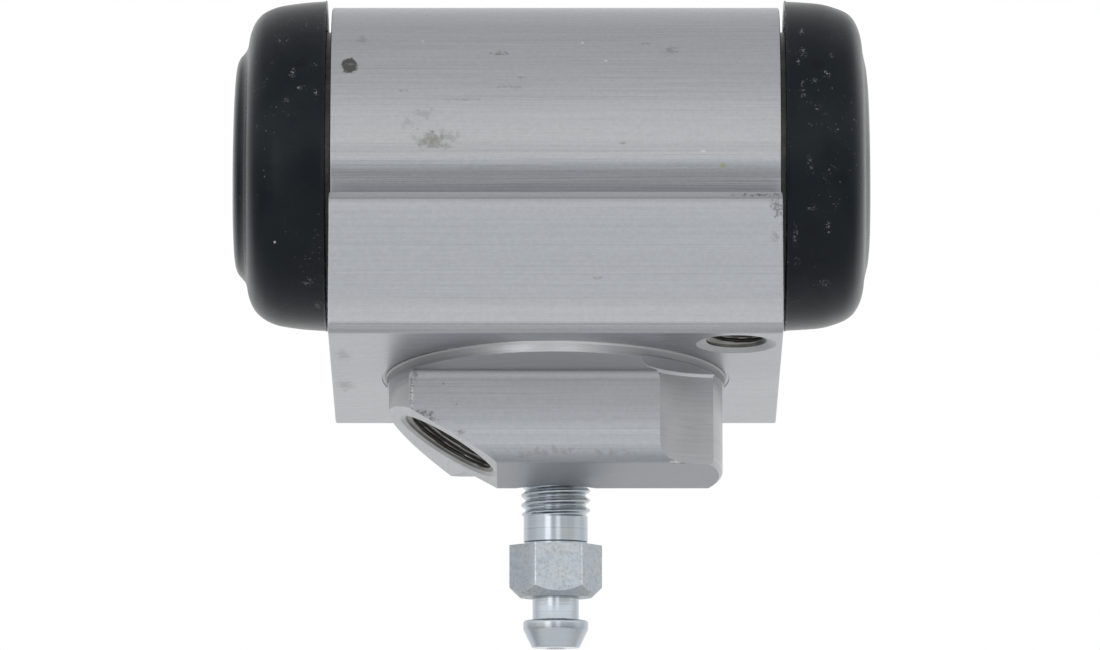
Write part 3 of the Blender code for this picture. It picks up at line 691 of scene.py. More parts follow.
def bodyOutline(sizes):
    half, top = sizes["footHalf"], sizes["footHeight"]
    chamfer, rounding = sizes["footChamfer"], sizes["footRound"]
    radius, height, fillet = sizes["barrelRadius"], sizes["axisHeight"], sizes["creaseFillet"]
    # the crease between barrel and foot has a small fillet whose centre lies over the foot
    centreZ = top + fillet
    centreY = math.sqrt((radius + fillet) ** 2 - (height - centreZ) ** 2)
    touch = math.degrees(math.atan2(centreZ - height, centreY))
    crease = arcPoints((centreY, centreZ), (fillet, fillet), 270, 180 + touch, 6)
    barrel = arcPoints((0, height), (radius, radius), touch, 180 - touch, 128)
    edge, low = half - chamfer, top - chamfer
    right = [(half, low - 0.1), (half - 0.08, low + 0.05), (edge + 0.05, top - 0.08), (edge - 0.1, top)]
    rightLow = arcPoints((half - rounding, rounding), (rounding, rounding), -90, 0, 10)
    rightSide = rightLow + right + crease
    leftSide = [(-y, z) for y, z in reversed(rightSide)]
    return rightSide + barrel[1:-1] + leftSide


def stemOutline(sizes):
    front, drop, back = sizes["stemFront"], sizes["stemDrop"], sizes["stemBack"]
    nose, fillet = sizes["stemNoseRound"], sizes["stemFillet"]
    outline = [(front - fillet, 2.0), (front - fillet, -0.98)]
    outline += arcPoints((front - fillet, -1.0 - fillet), (fillet, fillet + 0.02), 80, 0, 10)
    outline += arcPoints((front + nose, nose - drop), (nose, nose), 180, 270, 14)
    return outline + [(sizes["stemFlatRear"], -drop), sizes["stemStepTop"], back, (back[0], 2.0)]


def threadedTool(sizes, hole):
    # the mouth's (depth, radius) points go inwards from the face; it has the milled finish down to bright,
    # and painted shade from there to the end of the mouth
    minor, major, pitch = sizes[hole + "Minor"], sizes[hole + "Major"], sizes["threadPitch"]
    mouth, depth = sizes[hole + "Mouth"], sizes[hole + "Depth"]
    slope = (mouth[0][1] - mouth[1][1]) / (mouth[1][0] - mouth[0][0])
    rows = [(-0.4, 0.0), (-0.4, mouth[0][1] + 0.4 * slope), (-0.01, mouth[0][1] + 0.01 * slope)]
    count = int(round(depth / (pitch / 12)))
    rows += [(0.01 + (depth - 0.01) * step / count, minor) for step in range(count + 1)]
    rows += [(depth + minor * 0.6, 0.0)]
    bm = spun(rows, 128, threaded)
    cutThread(bm, 0.0, depth - 0.2, pitch, minor, major, sizes[hole + "Phase"], fadeEnd=1.0)
    for face in bm.faces:
        along = face.calc_center_median().x
        if along < mouth[-1][0]:
            face.material_index = milled if along < sizes[hole + "Bright"] else shaded
    for vert in bm.verts:  # the countersink cuts the first turns away
        along, radius = vert.co.x, vert.co.yz.length
        for (near, wide), (far, narrow) in zip(mouth, mouth[1:]):
            if near <= along <= far and radius > 0.1:
                setRadius(vert, max(radius, wide + (narrow - wide) * (along - near) / (far - near)))
    return bm


def makeStem(sizes):
    # the turning reaches a little lower than the section, so the bottom keeps its extruded skin
    drop, radius, rounding = sizes["stemDrop"] + 0.02, sizes["stemRadius"], sizes["stemEndRound"]
    rows = [(drop, 0.0)] + arcPoints((drop - rounding, radius - rounding), (rounding, rounding), 0, 90, 10)
    rows += [(-1.5, radius), (-1.5, 0.0)]
    stem = meshObject(pointAlong(spun(rows, 256, turnedDown), (0, 0, 0), down), "stem", bodyMetals)
    combine(stem, [drawn(stemOutline(sizes), -40, 40, stemSkin)], "INTERSECT")
    waste = bmesh.new()
    bmesh.ops.create_cube(waste, size=60.0)
    for face in waste.faces:
        face.material_index = portPlane
    moved(waste, Matrix.Translation((-30, 0, 0)))
    return combine(stem, [pointAlong(waste, sizes["portPoint"], portInwards)], "DIFFERENCE")


def makeCollars(sizes):
    ends, groove, wall = sizes["collarEnd"], sizes["grooveRadius"], sizes["collarRadius"]
    near, far = sizes["grooveStart"], sizes["grooveEnd"]
    side = [(near, wall), (near + 0.1, groove), (far - 0.1, groove), (far, wall), (ends - 0.25, wall),
            (ends, wall - 0.25), (ends, 0.0)]
    rows = [(-along, radius) for along, radius in reversed(side)] + side
    # the collars sit in the dark gap beside the boots, so they take the painted shade
    return pointAlong(spun(rows, 160, shaded), (0, 0, sizes["axisHeight"]), (1, 0, 0))


def makeSpigot(sizes):
    low, bevel = sizes["spigotHeight"], sizes["spigotBevel"]
    wide, flare = sizes["spigotRadius"], sizes["spigotFlare"]
    narrow = wide - sizes["spigotDraft"]
    rows = [(-1.2, wide + flare), (-0.1, wide + flare), (0.02, wide + flare * 0.85),
            (0.12, wide + flare * 0.3), (0.26, wide), (low - bevel, narrow), (low, narrow - bevel)]
    spigot = plainTool(rows, 256, turnedDown)
    for face in spigot.faces:
        if face.calc_center_median().yz.length > narrow - 0.5:
            face.material_index = spigotWall
    return pointAlong(spigot, (0, 0, 0), down)


def makeHoles(sizes):
    # the tools for the bore, the screw hole with its scoop, the port and the bleed hole
    ends, chamfer, radius = sizes["collarEnd"], sizes["boreChamfer"], sizes["boreRadius"]
    reach, mouth = ends + 2.0, radius + chamfer + 2.0
    rows = [(-reach, mouth), (-ends + chamfer, radius), (ends - chamfer, radius), (reach, mouth)]
    bore = pointAlong(plainTool(rows, 128, turnedBore), (0, 0, sizes["axisHeight"]), (1, 0, 0))
    bolt = pointAlong(threadedTool(sizes, "bolt"), (*sizes["boltCentre"], 0), up)
    top, wide = sizes["reliefTop"], sizes["reliefRadius"]
    rows = [(top, wide - 0.28), (top + 0.08, wide - 0.2), (top + 0.3, wide), (20.0, wide)]
    relief = pointAlong(plainTool(rows, 160, milled), (*sizes["reliefCentre"], 0), down)
    port = pointAlong(threadedTool(sizes, "port"), sizes["portPoint"], portInwards)
    passage = plainTool([(0.0, sizes["portPassage"]), (34.0, sizes["portPassage"])], 32, threaded)
    pointAlong(passage, sizes["portPoint"], portInwards)
    depth, hole, wide = sizes["bleedDepth"], sizes["bleedHole"], sizes["bleedMouth"]
    rows = [(-3.0, wide + 3.0), (wide - hole, hole), (depth - 2.2, hole), (depth, 1.4), (depth + 0.01, 1.0),
            (29.0, 1.0)]
    bleed = pointAlong(plainTool(rows, 64, milled), sizes["bleedPoint"], -bleedOutwards)
    return [bore, bolt, relief, port, passage, bleed]


def makeBody(sizes):
    half = sizes["halfLength"]
    outline = drawn(bodyOutline(sizes), -half, half, skin, sizes["endBevel"], turnedBore)
    body = meshObject(outline, "cylinderBody", bodyMetals)
    wide, deep = sizes["recessRadius"], sizes["recessDepth"]
    recess = plainTool([(-2.0, wide), (deep - 0.05, wide), (deep, wide - 0.05)], 256, turnedDown)
    combine(body, [pointAlong(recess, (0, 0, 0), up)], "DIFFERENCE")
    combine(body, [makeCollars(sizes), makeSpigot(sizes), makeStem(sizes)], "UNION")
    combine(body, makeHoles(sizes), "DIFFERENCE")
    finishPiece(body)
    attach(body, "cylinder")
    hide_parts("cylinder_body")
    return body


cylinderBody = makeBody(bodySizes)
print("body made:", len(cylinderBody.data.polygons), "faces")


# the bleed screw

bleedFinish = {
    "zinc": (0.44, 0.485, 0.535),
    "zincWarm": (0.47, 0.50, 0.515),
    "zincDark": (0.27, 0.295, 0.32),
    "zincPit": (0.15, 0.165, 0.165),
    # the hexagon's eased edges: light from wear, partly a painted highlight
    "wornZinc": (0.74, 0.79, 0.83),
    "turnedRoughness": 0.17,
    "mattRoughness": 0.40,
    "wornRoughness": 0.5,
    "chamferRoughness": 0.40,
    "turnedRings": 5600.0,
    "turnedBump": 0.12,
    "tintScale": 420.0,
    "grainScale": 2600.0,
    "grainBump": 0.4,
    # scale, size, scale of the patches, amount
    "pits": (6200.0, 0.45, 700.0, 0.8),
    # along X, how light the painted light and shade make the hexagon's faces; the turned chamfer is evenly
    # darker
    "mattTones": [(-5.0, 0.94), (-2.7, 0.94), (-2.2, 1.1), (2.2, 1.12), (2.7, 0.98), (5.0, 0.98)],
    "chamferTones": [(-5.0, 0.85), (5.0, 0.85)],
}

bleedSizes = {
    "buried": 8.5,
    "noseRadius": 1.2,
    "noseLength": 2.2,
    "threadStart": -2.0,
    "threadEnd": 4.5,
    "threadCrest": 3.52,
    "threadRoot": 3.06,
    "threadPitch": 1.0,
    "shankRadius": 3.25,
    "shankLength": 2.8,
    "headFlats": 8.2,
    "headLength": 5.3,
    "headBevel": 0.10,
    "headFace": 3.65,
    "headSlope": 44.0,
    "headRoll": 3.4,
    "neckRadius": 2.35,
    "neckLength": 2.3,
    "barbRadius": 3.3,
    "barbLength": 2.82,
    "tipRadius": 2.42,
    "drillRadius": 0.9,
}


def makeZinc(kind):
    roughness = bleedFinish[kind + "Roughness"]
    material, tree, shader, coordinates = newMaterial(kind + "Zinc", roughness, 1.0)
    base = metres(bodySizes["bleedPoint"])
    lines, broad = ringsAbout(tree, coordinates, base, bleedOutwards, bleedFinish["turnedRings"])
    tint = spread(tree, noiseTexture(tree, coordinates, bleedFinish["tintScale"]), 0.4, 0.65)
    light, warm = bleedFinish["zinc"], bleedFinish["zincWarm"]
    # the eased edges: partly wear, partly a painted highlight
    if kind == "worn":
        light = warm = bleedFinish["wornZinc"]
    colour = blendColours(tree, tint, rgba(light), rgba(warm))
    if kind == "turned":
        height, strength = lines, bleedFinish["turnedBump"]
        dark = spread(tree, lines, 0.75, 1.0, 0.0, 0.4)
        rough = maths(tree, "MULTIPLY_ADD", broad, 0.08, roughness - 0.04)
    else:
        height = noiseTexture(tree, coordinates, bleedFinish["grainScale"], 5.0, 0.7)
        strength = bleedFinish["grainBump"]
        dark = spread(tree, height, 0.42, 0.72, 0.0, 0.55)
        rough = maths(tree, "MULTIPLY_ADD", height, 0.25, roughness - 0.12)
    colour = blendColours(tree, dark, colour, rgba(bleedFinish["zincDark"]))
    # painted light and shade along X on the hexagon's faces, then pits
    if kind in ("matt", "chamfer"):
        colour = shade(tree, coordinates, 0, colour, bleedFinish[kind + "Tones"])
        pits = grainMask(tree, coordinates, *bleedFinish["pits"])
        colour = blendColours(tree, times(tree, pits, 0.5), colour, rgba(bleedFinish["zincPit"]))
    dress(tree, shader, colour, rough, height, strength)
    return material


turnedZinc, mattZinc, wornZinc, chamferZinc = range(4)
zincMetals = [makeZinc(kind) for kind in ("turned", "matt", "worn", "chamfer")]


def makeShaft(sizes, headStart, barb, tip):
    # nose, threaded part, shank, neck and barb
    start, end, pitch = sizes["threadStart"], sizes["threadEnd"], sizes["threadPitch"]
    root, crest, shank = sizes["threadRoot"], sizes["threadCrest"], sizes["shankRadius"]
    neck, wide, narrow = sizes["neckRadius"], sizes["barbRadius"], sizes["tipRadius"]
    low, nose, waist = -sizes["buried"], sizes["noseRadius"], shank - 0.14
    rows = [(low, 0.0), (low, nose - 0.15), (low + 0.15, nose), (low + sizes["noseLength"], root)]
    count = int((end - start) / (pitch / 14))
    rows += [(start + (end - start) * step / count, root) for step in range(count)]
    rows += [(end, shank), (end + 0.05, shank), (headStart - 0.35, shank), (headStart - 0.22, waist),
             (headStart - 0.1, waist), (headStart + 0.6, waist), (headStart + 0.6, neck),
             (barb - 0.12, neck), (barb, neck + 0.05), (barb + 0.02, wide - 0.42)]
    rows += arcPoints((barb + 0.30, wide - 0.30), (0.28, 0.30), 170, 90, 5)
    rows += [(barb + 0.85, wide), (barb + 1.05, wide - 0.06), (tip - 0.22, narrow + 0.08)]
    rows += arcPoints((tip - 0.2, narrow - 0.15), (0.2, 0.2), 70, 0, 4) + [(tip, 0.0)]
    shaft = spun(rows, 128, turnedZinc)
    cutThread(shaft, start, end - 0.02, pitch, root, crest, fadeStart=1.0, fadeEnd=0.35, runOut=shank)
    return shaft


def makeHead(sizes, headStart, headEnd):
    corner, length = sizes["headFlats"] / math.sqrt(3.0), sizes["headLength"]
    head = bmesh.new()
    bmesh.ops.create_cone(head, cap_ends=True, segments=6, radius1=corner, radius2=corner, depth=length + 2.0)
    upright = [edge for edge in head.edges if abs(edge.verts[0].co.z - edge.verts[1].co.z) > 1.0]
    for face in head.faces:
        face.material_index = mattZinc
    eased = bmesh.ops.bevel(head, geom=upright, offset=sizes["headBevel"], affect="EDGES", segments=3,
                            profile=0.5, material=-1)
    # the eased edges take the worn colour, which is partly a painted highlight
    for face in eased["faces"]:
        face.material_index = wornZinc
    # the prism stands along Z: it turns to lie along X, with its corners to the left and right
    turned = Matrix.Rotation(math.radians(90.0), 4, "Y") @ Matrix.Rotation(math.radians(30.0), 4, "Z")
    moved(head, Matrix.Translation((headStart + length / 2 + 1.0, 0, 0)) @ turned)
    bmesh.ops.recalc_face_normals(head, faces=head.faces[:])
    reach, face = corner + 1.0, sizes["headFace"]
    slope = math.tan(math.radians(sizes["headSlope"]))
    rows = [(headStart - 1.0, reach), (headEnd - (reach - face) * slope, reach), (headEnd, face)]
    prism = meshObject(head, "screwHead", zincMetals)
    return combine(prism, [plainTool(rows, 160, chamferZinc)], "INTERSECT")


def makeBleedScrew(sizes):
    headStart = sizes["threadEnd"] + sizes["shankLength"]
    headEnd = headStart + sizes["headLength"]
    barb = headEnd + sizes["neckLength"]
    tip = barb + sizes["barbLength"]
    screw = meshObject(makeShaft(sizes, headStart, barb, tip), "bleedScrew", zincMetals)
    combine(screw, [makeHead(sizes, headStart, headEnd)], "UNION")
    # drilled from the tip to a cross hole over the nose
    stop, drill = -sizes["buried"] + sizes["noseLength"] + 2.6, sizes["drillRadius"]
    centreHole = plainTool([(stop, drill), (tip - 0.15, drill), (tip + 0.5, drill + 0.65)], 40, turnedZinc)
    crossHole = plainTool([(-6.0, drill), (6.0, drill)], 32, turnedZinc)
    combine(screw, [centreHole, pointAlong(crossHole, (stop, 0, 0), up)], "DIFFERENCE")
    roll = Matrix.Rotation(math.radians(sizes["headRoll"]), 4, "X")
    screw.data.transform(Matrix.Translation(bodySizes["bleedPoint"]) @ turnTo(bleedOutwards) @ roll)
    finishPiece(screw, 42.0)
    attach(screw, "bleed_screw")
    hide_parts("bleed_screw")
    return screw


bleedScrew = makeBleedScrew(bleedSizes)
print("bleed screw made:", len(bleedScrew.data.polygons), "faces")


# rubber boots

bootFinish = {
    "rubber": (0.0024, 0.0042, 0.0068),
    "worn": (0.008, 0.0098, 0.012),
    "dust": (0.17, 0.175, 0.165),
    "tint": (0.86, 0.94, 1.0),
    "roughness": 0.28,
    "specular": 0.19,
    "filmScale": 190.0,
    "grainScale": 4200.0,
    "bump": 0.16,
    # scale, size, scale of the patches, amount
    "specks": (4200.0, 0.32, 190.0, 0.34),
    "dustGrains": (5600.0, 0.55, 1500.0, 4.0),
    # where dust lies: centre and half sizes in millimetres, how dense
    "dustAreas": [
        ((-26.3, -15.3, 28.0), (0.5, 1.2, 0.9), 0.8), ((-25.5, -15.9, 26.2), (0.9, 1.0, 0.4), 0.6),
        ((-24.0, -15.4, 28.6), (0.35, 1.2, 0.9), 0.6), ((-23.9, -16.2, 25.4), (0.4, 1.0, 0.7), 1.0),
        ((-27.3, -12.8, 31.9), (0.8, 1.5, 0.7), 0.6), ((-26.9, -16.0, 24.9), (0.5, 1.0, 0.5), 0.4),
        ((-24.8, -8.6, 8.0), (0.9, 1.2, 0.6), 0.6), ((-23.8, -5.4, 6.4), (0.5, 1.2, 0.6), 0.8),
        ((24.6, -12.5, 32.8), (0.4, 1.2, 0.6), 0.9), ((24.8, -14.3, 30.3), (0.5, 1.2, 1.0), 1.0),
        ((24.2, -14.9, 29.1), (0.4, 1.0, 0.5), 1.0), ((24.7, -16.0, 25.9), (0.35, 1.0, 1.8), 0.9),
        ((25.6, -15.6, 27.0), (1.0, 1.0, 0.35), 1.0), ((27.0, -15.1, 27.8), (0.6, 1.0, 0.7), 0.9),
        ((27.6, -13.9, 30.0), (0.4, 1.0, 0.6), 0.4), ((26.1, -16.3, 24.1), (0.5, 1.0, 0.5), 0.6),
        ((25.3, -16.0, 18.2), (0.5, 1.0, 1.6), 0.5), ((25.5, -14.4, 14.2), (0.6, 1.0, 0.5), 0.6),
        ((23.9, -13.0, 11.8), (0.35, 1.4, 2.2), 1.0), ((27.2, -13.0, 12.5), (0.4, 1.2, 1.0), 0.7),
        ((24.1, -10.8, 9.5), (0.4, 1.4, 0.9), 0.8), ((26.8, -8.0, 8.0), (1.0, 1.4, 0.6), 0.5),
    ],
    # wiped spots, and one light crumb
    "spots": [
        ((-25.4, -14.8, 29.0), (0.7, 1.0, 0.8), 0.4, 1200.0, (0.0008, 0.0012, 0.002), 0.85),
        ((26.0, -14.8, 28.8), (0.7, 1.0, 0.8), 0.4, 1200.0, (0.0008, 0.0012, 0.002), 0.85),
        ((25.5, -13.3, 12.4), (0.7, 1.0, 0.8), 0.4, 1200.0, (0.0008, 0.0012, 0.002), 0.7),
        ((-28.0, -11.9, 11.3), (0.15, 0.5, 0.13), 0.4, 3000.0, (0.5, 0.5, 0.47), 0.9),
    ],
}

bootSizes = {
    "steps": 200,
    "rim": 23.0,
    "seatRadius": 13.82,
    "beadRadius": 12.72,
    "beadStart": 24.4,
    "beadEnd": 25.8,
    "web": 29.4,
    "opening": 7.7,
    "lipRadius": 6.9,
    "lipWidth": 2.9,
    "leftLipEnd": 29.4,
    "rightLipEnd": 28.8,
    "flash": 0.07,
    "unevenness": 0.04,
    # distance from the middle and radius, from the rim to the opening
    "leftOutline": [
        (23.35, 16.62), (25.3, 16.48), (27.3, 16.22), (28.3, 15.98), (29.2, 15.58), (29.8, 15.12),
        (30.25, 14.6), (30.6, 13.95), (30.85, 13.2), (31.0, 12.4), (31.15, 11.85), (31.45, 11.4),
        (31.85, 10.95), (32.12, 10.35), (32.25, 9.6), (32.32, 8.7), (32.36, 8.05),
    ],
    "rightOutline": [
        (23.35, 16.6), (25.7, 16.45), (27.0, 16.28), (28.1, 15.97), (29.1, 15.58), (29.8, 15.08),
        (30.3, 14.4), (30.65, 13.6), (30.85, 12.8), (30.93, 12.2), (30.98, 11.7), (31.08, 11.2),
        (31.22, 10.6), (31.36, 9.95), (31.44, 9.2), (31.5, 8.6), (31.52, 8.05),
    ],
}


def makeBootRubber():
    roughness = bootFinish["roughness"]
    material, tree, shader, coordinates = newMaterial("bootRubber", roughness, 0.0, bootFinish["specular"])
    shader.inputs["Specular Tint"].default_value = rgba(bootFinish["tint"])
    film = noiseTexture(tree, coordinates, bootFinish["filmScale"], 6.0, 0.62)
    wear = spread(tree, film, 0.42, 0.72)
    colour = blendColours(tree, wear, rgba(bootFinish["rubber"]), rgba(bootFinish["worn"]))
    colour = addMarks(tree, coordinates, colour, bootFinish["spots"])
    area = 0.0
    for centre, halves, dense in bootFinish["dustAreas"]:
        mask = scuffMask(tree, coordinates, centre, halves, 1.1, 1500.0)
        area = maths(tree, "MAXIMUM", area, times(tree, mask, dense))
    specks = grainMask(tree, coordinates, *bootFinish["specks"])
    dusty = grainMask(tree, coordinates, *bootFinish["dustGrains"])
    amount = times(tree, dusty, times(tree, area, 2.2))
    amount = maths(tree, "MULTIPLY_ADD", specks, 0.5, amount, clamp=True)
    colour = blendColours(tree, amount, colour, rgba(bootFinish["dust"]))
    rough = maths(tree, "MULTIPLY_ADD", film, 0.22, roughness - 0.11)
    grain = noiseTexture(tree, coordinates, bootFinish["grainScale"], 3.0)
    dress(tree, shader, colour, rough, grain, bootFinish["bump"])
    return material


bootRubber = makeBootRubber()


def makeBoot(sizes, side):
    word = sideWords[side]
    outline = sizes[word + "Outline"]
    rim, seat, web, opening = sizes["rim"], sizes["seatRadius"], sizes["web"], sizes["opening"]
    bead, near, far = sizes["beadRadius"], sizes["beadStart"], sizes["beadEnd"]
    face, edge, flash = outline[-1][0], outline[0][1], outline[0][1] + sizes["flash"]
    outer = [(rim, seat + 0.15), (rim, edge - 0.35), (rim + 0.03, edge + 0.02), (rim + 0.07, flash),
             (rim + 0.14, flash), (rim + 0.2, edge + 0.02)]
    outer += smoothLine(outline, 5)
    outer += arcPoints((face - 0.3, opening + 0.3), (0.3, 0.3), 0, -90, 5)[1:]
    inner = [(web + 0.1, opening), (web, opening + 0.1), (web, 9.8)]
    inner += arcPoints((26.0, 11.4), (3.4, 2.9), 5, 55, 8)
    inner += [(27.6, seat), (far, seat), (far - 0.1, bead), (near + 0.1, bead), (near, seat),
              (rim + 0.15, seat)]
    bm = spun(outer + inner, sizes["steps"], closed=True)
    for vert in bm.verts:
        along, y, z = vert.co
        radius = math.hypot(y, z)
        outwards = 0.0
        if radius > seat + 0.3 or along > web + 0.5:
            # moulded rubber is never quite true, and its face leans a little
            soft = noise.noise(Vector((along * 0.16, y * 0.11, z * 0.11 + side * 7.0)))
            outwards = soft * sizes["unevenness"]
            vert.co.x -= min(1.0, max(0.0, (along - 29.5) / 2.0)) * (z / 11.0) * 0.12
        if rim < along < rim + 0.2 and radius > edge + 0.05:
            outwards += noise.noise(Vector((y * 1.1, z * 1.1, side * 3.0))) * 0.1
        setRadius(vert, radius + outwards)
    boot = finishPiece(meshObject(moved(bm, ontoBore(side)), word + "DustBoot", [bootRubber]), 50.0)
    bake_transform(boot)
    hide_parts(word + "_dust_boot")


def makeBootLip(sizes, side):
    # the part that grips the piston's groove, behind the boot's cap
    word, opening, grip = sideWords[side], sizes["opening"], sizes["lipRadius"]
    end, web = sizes[word + "LipEnd"], sizes["web"] + 0.12
    start = end - sizes["lipWidth"]
    rows = [(web, opening + 0.02), (web, opening + 1.5), (start + 0.25, opening + 1.05),
            (start, opening + 0.8), (start, grip + 0.1), (start + 0.1, grip), (end - 0.1, grip),
            (end, grip + 0.1), (end, opening - 0.05), (end + 0.05, opening)]
    bm = moved(spun(rows, 128, closed=True), ontoBore(side))
    lip = finishPiece(meshObject(bm, word + "BootLip", [bootRubber]), 50.0)
    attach(lip, word + "_piston")


for makePart in (makeBoot, makeBootLip):
    for side in sideWords:
        makePart(bootSizes, side)
print("boots made")


# pistons

pistonFinish = {
    "anodised": (0.50, 0.48, 0.42),
    "anodisedDark": (0.34, 0.325, 0.28),
    "film": (0.36, 0.34, 0.30),
    "roughness": 0.34,
    "rings": 4200.0,
    "filmScale": 300.0,
    "bump": 0.25,
}

pistonSizes = {
    "length": 16.8,
    "radius": 10.02,
    "bevel": 0.4,
    "neckRadius": 6.6,
    "neckWidth": 3.5,
    "tipRadius": 7.4,
    "tipLength": 1.8,
    "slotWidth": 5.2,
    "slotDepth": 4.8,
    "slotRound": 0.4,
    "edgeRound": 0.14,
    "leftEnd": 31.5,
    "rightEnd": 30.9,
}


def makePistonMetal():
    material, tree, shader, coordinates = newMaterial("anodisedAluminium", pistonFinish["roughness"], 1.0)
    lines = ringsAbout(tree, coordinates, boreAxis, (1, 0, 0), pistonFinish["rings"])[0]
    film = noiseTexture(tree, coordinates, pistonFinish["filmScale"], 4.0)
    film = spread(tree, film, 0.45, 0.75, 0.0, 0.35)
    colour = blendColours(tree, lines, rgba(pistonFinish["anodisedDark"]), rgba(pistonFinish["anodised"]))
    colour = blendColours(tree, film, colour, rgba(pistonFinish["film"]))
    dress(tree, shader, colour, None, lines, pistonFinish["bump"])
    return material


pistonMetal = makePistonMetal()


def makePiston(sizes, side):
    word, bevel, radius = sideWords[side], sizes["bevel"], sizes["radius"]
    end, neck, tip, depth = sizes[word + "End"], sizes["neckRadius"], sizes["tipRadius"], sizes["slotDepth"]
    start, neckEnd = end - sizes["length"], end - sizes["tipLength"]
    neckStart = neckEnd - sizes["neckWidth"]
    rows = [(start, 0.0), (start, radius - bevel), (start + bevel, radius), (neckStart - bevel, radius),
            (neckStart, radius - bevel), (neckStart, neck), (neckEnd, neck), (neckEnd, tip - 0.15),
            (neckEnd + 0.15, tip), (end - bevel, tip), (end, tip - bevel), (end, 0.0)]
    piston = meshObject(spun(rows, 128), word + "Piston", [pistonMetal])
    slot = bmesh.new()
    bmesh.ops.create_cube(slot, size=1.0)
    box = Matrix.Diagonal((depth + 2.0, 40.0, sizes["slotWidth"], 1.0))
    moved(slot, Matrix.Translation((end + 1.0 - depth / 2, 0, 0)) @ box)
    floor = [edge for edge in slot.edges if all(vert.co.x < end - 1.0 for vert in edge.verts)
             and abs(edge.verts[0].co.y - edge.verts[1].co.y) > 1.0]
    bmesh.ops.bevel(slot, geom=floor, offset=sizes["slotRound"], affect="EDGES", segments=3, profile=0.5,
                    material=-1)
    combine(piston, [slot], "DIFFERENCE")
    eased = piston.modifiers.new("easedEdges", "BEVEL")
    eased.width = sizes["edgeRound"]
    eased.segments = 2
    eased.limit_method = "ANGLE"
    eased.angle_limit = math.radians(50.0)
    bakeModifiers(piston)
    piston.data.transform(ontoBore(side))
    finishPiece(piston)
    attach(piston, word + "_piston")
    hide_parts(word + "_piston")


for side in sideWords:
    makePiston(pistonSizes, side)
print("pistons made")


# seals, expanders and spring, inside the bore

innerFinish = {
    # dark and light colour, roughness, metallic, scale of the grain
    "sealRubber": ((0.006, 0.006, 0.007), (0.02, 0.02, 0.02), 0.4, 0.0, 900.0),
    "pressedSteel": ((0.32, 0.32, 0.32), (0.48, 0.48, 0.47), 0.33, 1.0, 700.0),
    "springSteel": ((0.20, 0.20, 0.21), (0.33, 0.33, 0.34), 0.3, 1.0, 1400.0),
}


def makeInnerFinish(name):
    dark, light, roughness, metallic, scale = innerFinish[name]
    material, tree, shader, coordinates = newMaterial(name, roughness, metallic)
    grain = noiseTexture(tree, coordinates, scale, 4.0, 0.6)
    colour = blendColours(tree, spread(tree, grain, 0.35, 0.7), rgba(dark), rgba(light))
    dress(tree, shader, colour, None, grain, 0.15)
    return material


innerKinds = {"cup_seal": (makeInnerFinish("sealRubber"), "seal_rubber"),
              "cup_expander": (makeInnerFinish("pressedSteel"), "pressed_steel")}
for kind, (finish, slotName) in innerKinds.items():
    for word in sideWords.values():
        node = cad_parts[word + "_" + kind]
        node.data.materials.clear()
        node.data.materials.append(finish)

springSteel = makeInnerFinish("springSteel")
springSizes = {
    "wire": 1.0,
    "meanRadius": 5.7,
    "leftEnd": -11.1,
    "rightEnd": 10.5,
    "turns": 6,
    "endPitch": 1.35,
    "stepsPerTurn": 40,
}


def makeSpringHalf(sizes, side):
    # one half of the coil, from the middle to its end turn
    word, turns = sideWords[side], sizes["turns"]
    middle = (sizes["leftEnd"] + sizes["rightEnd"]) / 2
    travel = sizes["rightEnd"] - sizes["leftEnd"] - sizes["wire"]
    pitch = (travel - 2 * sizes["endPitch"]) / (turns - 2)
    bm = bmesh.new()
    bmesh.ops.create_circle(bm, cap_ends=True, segments=14, radius=sizes["wire"] / 2)
    moved(bm, Matrix.Translation((sizes["meanRadius"], 0, 0)))
    for axis in ("Z", "Y"):
        moved(bm, Matrix.Rotation(math.radians(90.0), 4, axis))
    moved(bm, Matrix.Translation((middle, 0, 0)))
    last = bm.verts[:] + bm.edges[:] + bm.faces[:]
    for count, rise in ((turns / 2 - 1, pitch), (1, sizes["endPitch"])):
        steps = int(count * sizes["stepsPerTurn"])
        made = bmesh.ops.spin(bm, geom=last, cent=(0, 0, 0), axis=(side, 0, 0), steps=steps,
                              dvec=(side * rise * count / steps, 0, 0), angle=2 * math.pi * count)
        last = made["geom_last"]
    bmesh.ops.recalc_face_normals(bm, faces=bm.faces[:])
    moved(bm, Matrix.Translation((0, 0, boreHeight)))
    half = finishPiece(meshObject(bm, word + "SpringHalf", [springSteel]), 50.0)
    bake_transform(half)
    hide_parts("return_spring")


for side in sideWords:
    makeSpringHalf(springSizes, side)
print("inner pieces made")


# camera, floor and light

